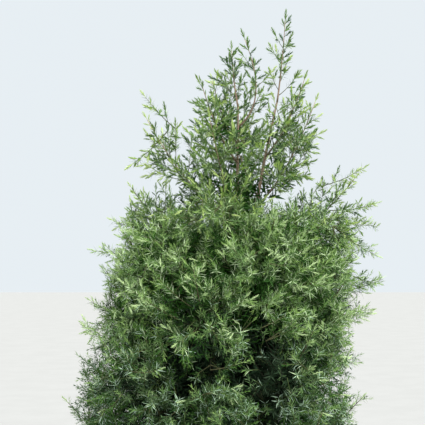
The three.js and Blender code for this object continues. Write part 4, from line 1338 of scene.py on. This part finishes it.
class JUNIPER_OT_compost(bpy.types.Operator):
    """Fills the pot with crumbly compost and strews bark chips on it."""

    bl_idname = "juniper.compost"
    bl_label = "Compost"

    def execute(self, context):
        settings = context.scene.juniper_pot
        rng = np.random.default_rng(3)
        floor, edge = POT_FLOOR + COMPOST_GAP, COMPOST_LEVEL - COMPOST_DISH
        foot, rim = ((pot_inside(height) - COMPOST_GAP, height) for height in (floor, edge))
        middle = (0.62 * POT_BASE_RADIUS, COMPOST_LEVEL - 0.3 * COMPOST_DISH)
        under = np.array([(0, floor), foot, rim], float)
        top = np.array([rim, middle, (COMPOST_FLAT, COMPOST_LEVEL), (0, COMPOST_LEVEL)], float)
        profile = np.concatenate([divided(under, 80.0), divided(top, 2.4)[1:]])

        def crumbs(grid):
            """How far the top stands out: coarse and fine noise, none at the middle and below the edge."""
            radius, turn = off_axis(grid), np.arctan2(grid[..., 1], grid[..., 0]) / TURN
            lumps = value_noise(turn, radius / 200, 26, 9, rng) - 0.5
            fine = value_noise(turn, radius / 200, 90, 40, rng) - 0.5
            return smooth(edge - 1, edge, grid[..., 2]) * smooth(0, 20, radius) * (3.0 * lumps + 2.4 * fine)

        base = np.array(settings.compost)
        crumbly = flecked_finish("moist_compost", 0.95, 0.2, base * 1.9, base * 0.6, 240, EVEN, 0.002, 0.7)
        compost = put_down("compost_crumbs", *turned(profile, 200, crumbs), "compost", crumbly)
        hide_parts("compost")

        count = settings.chips
        radius = np.sqrt(rng.uniform(*np.square(CHIP_RING), count))
        bearing = rng.uniform(0, TURN, count)
        centre = polar(radius, bearing, COMPOST_LEVEL - np.interp(radius, *COMPOST_FALL) + 0.8)
        turn = rng.uniform(0, TURN, count)
        long = unit(polar(1, turn, rng.uniform(-0.3, 0.3, count)))
        size = rng.uniform(*CHIP_SIZES, count)
        broad = unit(np.cross(UP, long))
        corner = np.array(CHIP_CORNERS) + rng.uniform(-0.12, 0.12, (count, len(CHIP_CORNERS), 3))
        axes = np.stack([long, broad, np.cross(long, broad)], axis=1)
        points = centre[:, None] + np.einsum("nkj,njc->nkc", corner * size[:, None, None], axes)
        points, faces = repeated(points, CHIP_FACES)
        brown = np.repeat(rng.random(count) < 0.4, len(CHIP_FACES))
        for name, chosen, light, dark in (
            ("compost_chips_dark", ~brown, (0.1, 0.052, 0.03), (0.04, 0.022, 0.013)),
            ("compost_chips_brown", brown, (0.26, 0.15, 0.085), (0.11, 0.06, 0.035)),
        ):
            used, packed = np.unique(faces[chosen], return_inverse=True)
            finish = flecked_finish(name, 0.9, 0.2, light, dark, 210, (1, 1, 1.4), 0.0008, 0.5)
            put_down(name, points[used], packed.reshape(-1, 3), "compost", finish, False)
        return {"FINISHED"}


class JUNIPER_OT_bark(bpy.types.Operator):
    """Wraps the trunk, the leaders and every bough in stringy bark."""

    bl_idname = "juniper.bark"
    bl_label = "Bark"

    def execute(self, context):
        settings = context.scene.juniper_wood
        rng = np.random.default_rng(5)
        material = bark_finish(settings)

        def wrap(name, tubes_of, nodes):
            """One piece of tubes, with the height of its bark at each point, in the place of its nodes."""
            points, faces, heights = zip(*tubes_of)
            piece = put_down(name, *stacked(list(zip(points, faces))), "bark", material)
            attribute = piece.data.attributes.new("bark_height", "FLOAT", "POINT")
            attribute.data.foreach_set("value", np.concatenate(heights).astype(np.float32))
            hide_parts(*nodes)

        def tube(line, radius_at, begin, finish, sides, stations):
            """A limb's bark between two shares of its line, with the relief that the settings ask for."""
            return bark_tube(line, radius_at, begin, finish, sides, stations, settings.relief / MM, rng)

        for name, (stem, line), begin, sides, stations in (
            ("trunk", STEMS[0], 4, 56, 620),
            ("right_leader", STEMS[1], 0, 32, 330),
        ):

            def lobed(share, bearing, stem=stem, line=line):
                """The stem's radius with five lobes that die away up from its foot."""
                lobe = 0.12 * np.cos(5 * bearing) * np.exp(-share * 1400 / stem.flare_height)
                return stem_radius(stem, line, share) * (1 + lobe)

            points, faces, height = tube(line, lobed, begin / line.length, 1, sides, stations)
            points[:, 2] = np.maximum(points[:, 2], COMPOST_LEVEL - 0.5)
            wrap(f"{name}_bark", [(points, faces, height)], [name])
        boughs = [limb for limb in lay_out_limbs() if limb.habit is DENSE]
        bark = []
        for limb in boughs:
            foot = max(BOUGH_ROOT_SHARE * limb.carrier, BOUGH_END_RADIUS + 0.6)

            def collared(share, bearing, foot=foot):
                """foot + (end - foot) along^0.7, and a collar that dies away from the stem."""
                along = share / BOUGH_SHARE
                collar = 1.6 * np.exp(-along * 9)
                return foot + (BOUGH_END_RADIUS - foot) * along**0.7 + collar + 0 * bearing

            bark.append(tube(limb.line, collared, 0, BOUGH_SHARE, 16, 60))
        wrap("boughs_bark", bark, [f"bough_{limb.name}" for limb in boughs])
        return {"FINISHED"}


class JUNIPER_OT_foliage(bpy.types.Operator):
    """Grows the twigs, short shoots and needles of every mass."""

    bl_idname = "juniper.foliage"
    bl_label = "Twigs and needles"

    def execute(self, context):
        settings, twig_step = context.scene.juniper_needles, context.scene.juniper_wood.twig_step / MM
        crown = grow(lay_out_limbs(), settings, twig_step)
        self.make_twigs(crown)
        self.make_needles(crown, settings)
        return {"FINISHED"}

    def make_twigs(self, crown):
        """The stems, twigs, spurs and side twigs as tapered tubes."""
        stems, twigs, side_twigs, spurs = crown.stems, crown.twigs, crown.side_twigs, crown.spurs[0]

        def tapered(foot, tip, paths, power=1.0):
            """The radius at each station of each path: foot + (tip - foot) share^power."""
            foot = np.broadcast_to(foot, len(paths))[:, None]
            return foot + (tip - foot) * np.linspace(0, 1, paths.shape[1]) ** power

        stem_radii = tapered(np.where(crown.dense, *STEM_FEET), STEM_TIP, stems, 0.8)
        twig_foot = TWIG_FEET[0] + np.linalg.norm(twigs[:, -1] - twigs[:, 0], axis=1) / 210
        twig_radii = tapered(np.clip(twig_foot, *TWIG_FEET), TWIG_TIP, twigs)
        spur_radii, side_radii = tapered(*SPUR_RADII, spurs), tapered(*SIDE_RADII, side_twigs)
        tan = with_habit(crown.limbs, LEADER, PEAK, OPEN)
        # Twigs whose middle lies in a hollow get a dark bark of painted shade
        shaded = in_hollow(twigs[:, 3]) > 0.35
        every = slice(None)
        for name, paths, radii, chosen, sides in (
            ("stems_brown", stems, stem_radii, ~tan, 6),
            ("stems_tan", stems, stem_radii, tan, 6),
            ("twigs_olive", twigs, twig_radii, ~shaded, 3),
            ("twigs_shaded", twigs, twig_radii, shaded, 3),
            ("spurs_brown", spurs, spur_radii, every, 3),
            ("twigs_green", side_twigs, side_radii, every, 3),
        ):
            shape = tubes(paths[chosen], radii[chosen], sides)
            put_down(name, *shape, "bark", twig_finish(*TWIG_BARKS[name]))

    def make_needles(self, crown, settings):
        """The shaded needles on the spurs, the open ones along the twigs and those on the short shoots."""
        rng, young = crown.rng, ~crown.dense
        size, width = settings.needle_length / MM, settings.needle_width / MM
        old_masses = [f"foliage_{limb.name}" for limb in crown.limbs if limb.habit in (DENSE, UPPER)]
        young_masses = [f"foliage_{limb.name}" for limb in crown.limbs if limb.habit is not DENSE]

        def lay(name, shapes, base, share, slot):
            """One piece of needles in one colour, in the place of the masses that carry such growth."""
            material = needle_finish(name, base, settings.silver, share)
            piece = put_down(name, *stacked(shapes), slot, material, False)
            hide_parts(*(young_masses if slot == "young_foliage" else old_masses))

        def lone_whorls(at, along, form, long, broad):
            """Whorls spread over one millimetre of the way ahead, which is one whorl at each place."""
            return [whorls_on(at, along, np.ones(len(at)), form, long, broad, rng)]

        # The shaded needles' dark greens are painted shade, darker still low down
        _, points, ways = crown.spurs
        high = points[:, 2] > rng.uniform(960, 1120, len(points))
        for name, chosen, base in (
            ("needles_shaded", ~high, (0.018, 0.042, 0.019)),
            ("needles_shaded_green", high, (0.034, 0.115, 0.016)),
        ):
            at, along = picked(chosen, points, ways)
            outer = smooth(0.36, 0.6, crown_share(at))[:, None, None]
            long, broad = (deep - less * outer for deep, less in (SHADED_LENGTH, SHADED_WIDTH))
            lay(name, lone_whorls(at, along, SHADED_WHORL, long, broad), base, 0.02, "foliage")
        points, ways, owner = crown.whorls
        fresh = young_at(points, young[owner], rng)
        low_down = 1 - smooth(*LOW_RISE, points[:, 2])
        # Fewer pale needles stand low down, which paints shade on the lower crown
        pale = rng.random(len(points)) < 0.28 - 0.08 * low_down
        frost = pale & (rng.random(len(points)) < low_down)
        kinds = (~fresh & ~pale, ~fresh & pale & ~frost, ~fresh & frost, fresh & ~pale, fresh & pale)
        for chosen, (name, base, share, long, broad, slot) in zip(kinds, OPEN_NEEDLES):
            at, along = picked(chosen, points, ways)
            lay(name, lone_whorls(at, along, OPEN_WHORL, long * size, broad * width), base, share, slot)

        # Each short shoot's tint: paler towards the tips of sprays; paler out of the crown, partly the young
        # growth's colour and partly painted light; and deeper low down and inside, which is painted shade
        base, heading, length, owner, tone, cool = crown.shoots
        tip = base + heading * length[:, None]
        out, height = crown_share(tip), tip[:, 2]
        fresh = young_at(tip, young[owner], rng)
        inner = np.where(fresh, 0.6, 1.0) * (1 - smooth(0.4, 0.88, out))
        tone = tone - LOW_SHADE * (1 - smooth(*LOW_RISE, height)) - INNER_SHADE * inner
        tone = tone + OUTER_LIGHT * smooth(0.88, 1.02, out) + SHOULDER_LIGHT * smooth(1120, 1260, height)
        tint = np.searchsorted(TINT_STEPS, tone) + 1
        tint = np.where((tint == 1) & (cool < 0.5), 0, tint)
        tint = np.where(fresh, tint + len(NEEDLE_TINTS) // 2, tint)
        broad = np.where(fresh, 0.97, 1.15 - 0.33 * smooth(0.66, 0.92, out))
        grown = np.clip(length * MM / settings.shoot_length, 0.6, 1.3)
        for number, (name, colour, share, slot, form) in enumerate(NEEDLE_TINTS):
            if not (tint == number).any():
                continue
            at, along, run, grow_by, wide = picked(tint == number, base, heading, length, grown, broad)
            core = 1.1 if form is SPINDLE else 0.55
            long = form.size * size * grow_by[:, None, None]
            wide = form.width * width * (grow_by * wide)[:, None, None]
            shapes = [spikes(at, along, 0.94 * run, core), whorls_on(at, along, run, form, long, wide, rng)]
            lay(name, shapes, colour, share, slot)


class JUNIPER_OT_stage(bpy.types.Operator):
    """Puts down the pale floor, the soft lights and the camera."""

    bl_idname = "juniper.stage"
    bl_label = "Stage"

    def execute(self, context):
        settings = context.scene.juniper_stage
        points = 40000.0 * np.array([(-1, -1, 0), (1, -1, 0), (1, 1, 0), (-1, 1, 0)])
        finish = Finish("pale_floor", 0.9, 0.1)
        colour, _ = finish.mottle((0.41, 0.415, 0.41), (0.395, 0.4, 0.395), 3)
        floor = put_down("floor", points, np.array([[0, 1, 2, 3]]), None, finish.colour(colour))

        world = bpy.data.worlds.new("soft_room")
        world.use_nodes = True
        context.scene.world = world
        tree = world.node_tree
        seen = tree.nodes["Background"]
        feed(tree, seen.inputs["Color"], settings.backdrop)
        fill = add_node(tree, "Background", {"Color": (0.93, 0.97, 1.0), "Strength": settings.fill})
        ray = add_node(tree, "LightPath", {})
        either = add_node(tree, "MixShader", {0: ray["Is Camera Ray"], 1: fill[0], 2: seen.outputs[0]})
        feed(tree, tree.nodes["World Output"].inputs["Surface"], either[0])
        lamp = bpy.data.lights.new("soft_sun", "SUN")
        lamp.energy = settings.sun
        lamp.angle = math.radians(30)
        lamp.color = (1.0, 0.985, 0.95)
        sun = bpy.data.objects.new("soft_sun", lamp)
        sun.location = (1.3, -1.7, 4.0)
        aim = Vector((0, 0, 0)) - sun.location
        sun.rotation_mode = "QUATERNION"
        sun.rotation_quaternion = aim.to_track_quat("-Z", "Y")
        context.scene.collection.objects.link(sun)

        lens = bpy.data.cameras.new("photo_camera")
        lens.lens = settings.lens
        lens.sensor_width = 36
        lens.clip_end = 200
        camera = bpy.data.objects.new("photo_camera", lens)
        camera.location = (settings.camera_side, -settings.camera_distance, settings.camera_height)
        camera.rotation_euler = (math.pi / 2 + settings.camera_pitch, 0, 0)
        context.scene.collection.objects.link(camera)
        context.scene.camera = camera
        context.scene.view_settings.view_transform = "Standard"
        return {"FINISHED"}


PIECES = (JUNIPER_OT_pot, JUNIPER_OT_compost, JUNIPER_OT_bark, JUNIPER_OT_foliage, JUNIPER_OT_stage)
SETTINGS = {
    "juniper_pot": JuniperPotSettings,
    "juniper_wood": JuniperWoodSettings,
    "juniper_needles": JuniperNeedleSettings,
    "juniper_stage": JuniperStageSettings,
}


class JUNIPER_PT_panel(bpy.types.Panel):
    """Lists the pieces and their settings."""

    bl_idname = "JUNIPER_PT_panel"
    bl_label = "Potted juniper"
    bl_space_type = "VIEW_3D"
    bl_region_type = "UI"
    bl_category = "Juniper"

    def draw(self, context):
        for piece in PIECES:
            self.layout.operator(piece.bl_idname)
        for group in SETTINGS:
            box = self.layout.box()
            for name in SETTINGS[group].__annotations__:
                box.prop(getattr(context.scene, group), name)


def register():
    for name, group in SETTINGS.items():
        bpy.utils.register_class(group)
        setattr(bpy.types.Scene, name, PointerProperty(type=group))
    for piece in (*PIECES, JUNIPER_PT_panel):
        bpy.utils.register_class(piece)


def unregister():
    for piece in reversed((*PIECES, JUNIPER_PT_panel)):
        bpy.utils.unregister_class(piece)
    for name, group in SETTINGS.items():
        delattr(bpy.types.Scene, name)
        bpy.utils.unregister_class(group)


def main():
    """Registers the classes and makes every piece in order."""
    register()
    bpy.ops.juniper.pot()
    bpy.ops.juniper.compost()
    bpy.ops.juniper.bark()
    bpy.ops.juniper.foliage()
    bpy.ops.juniper.stage()


if __name__ == "__main__":
    main()
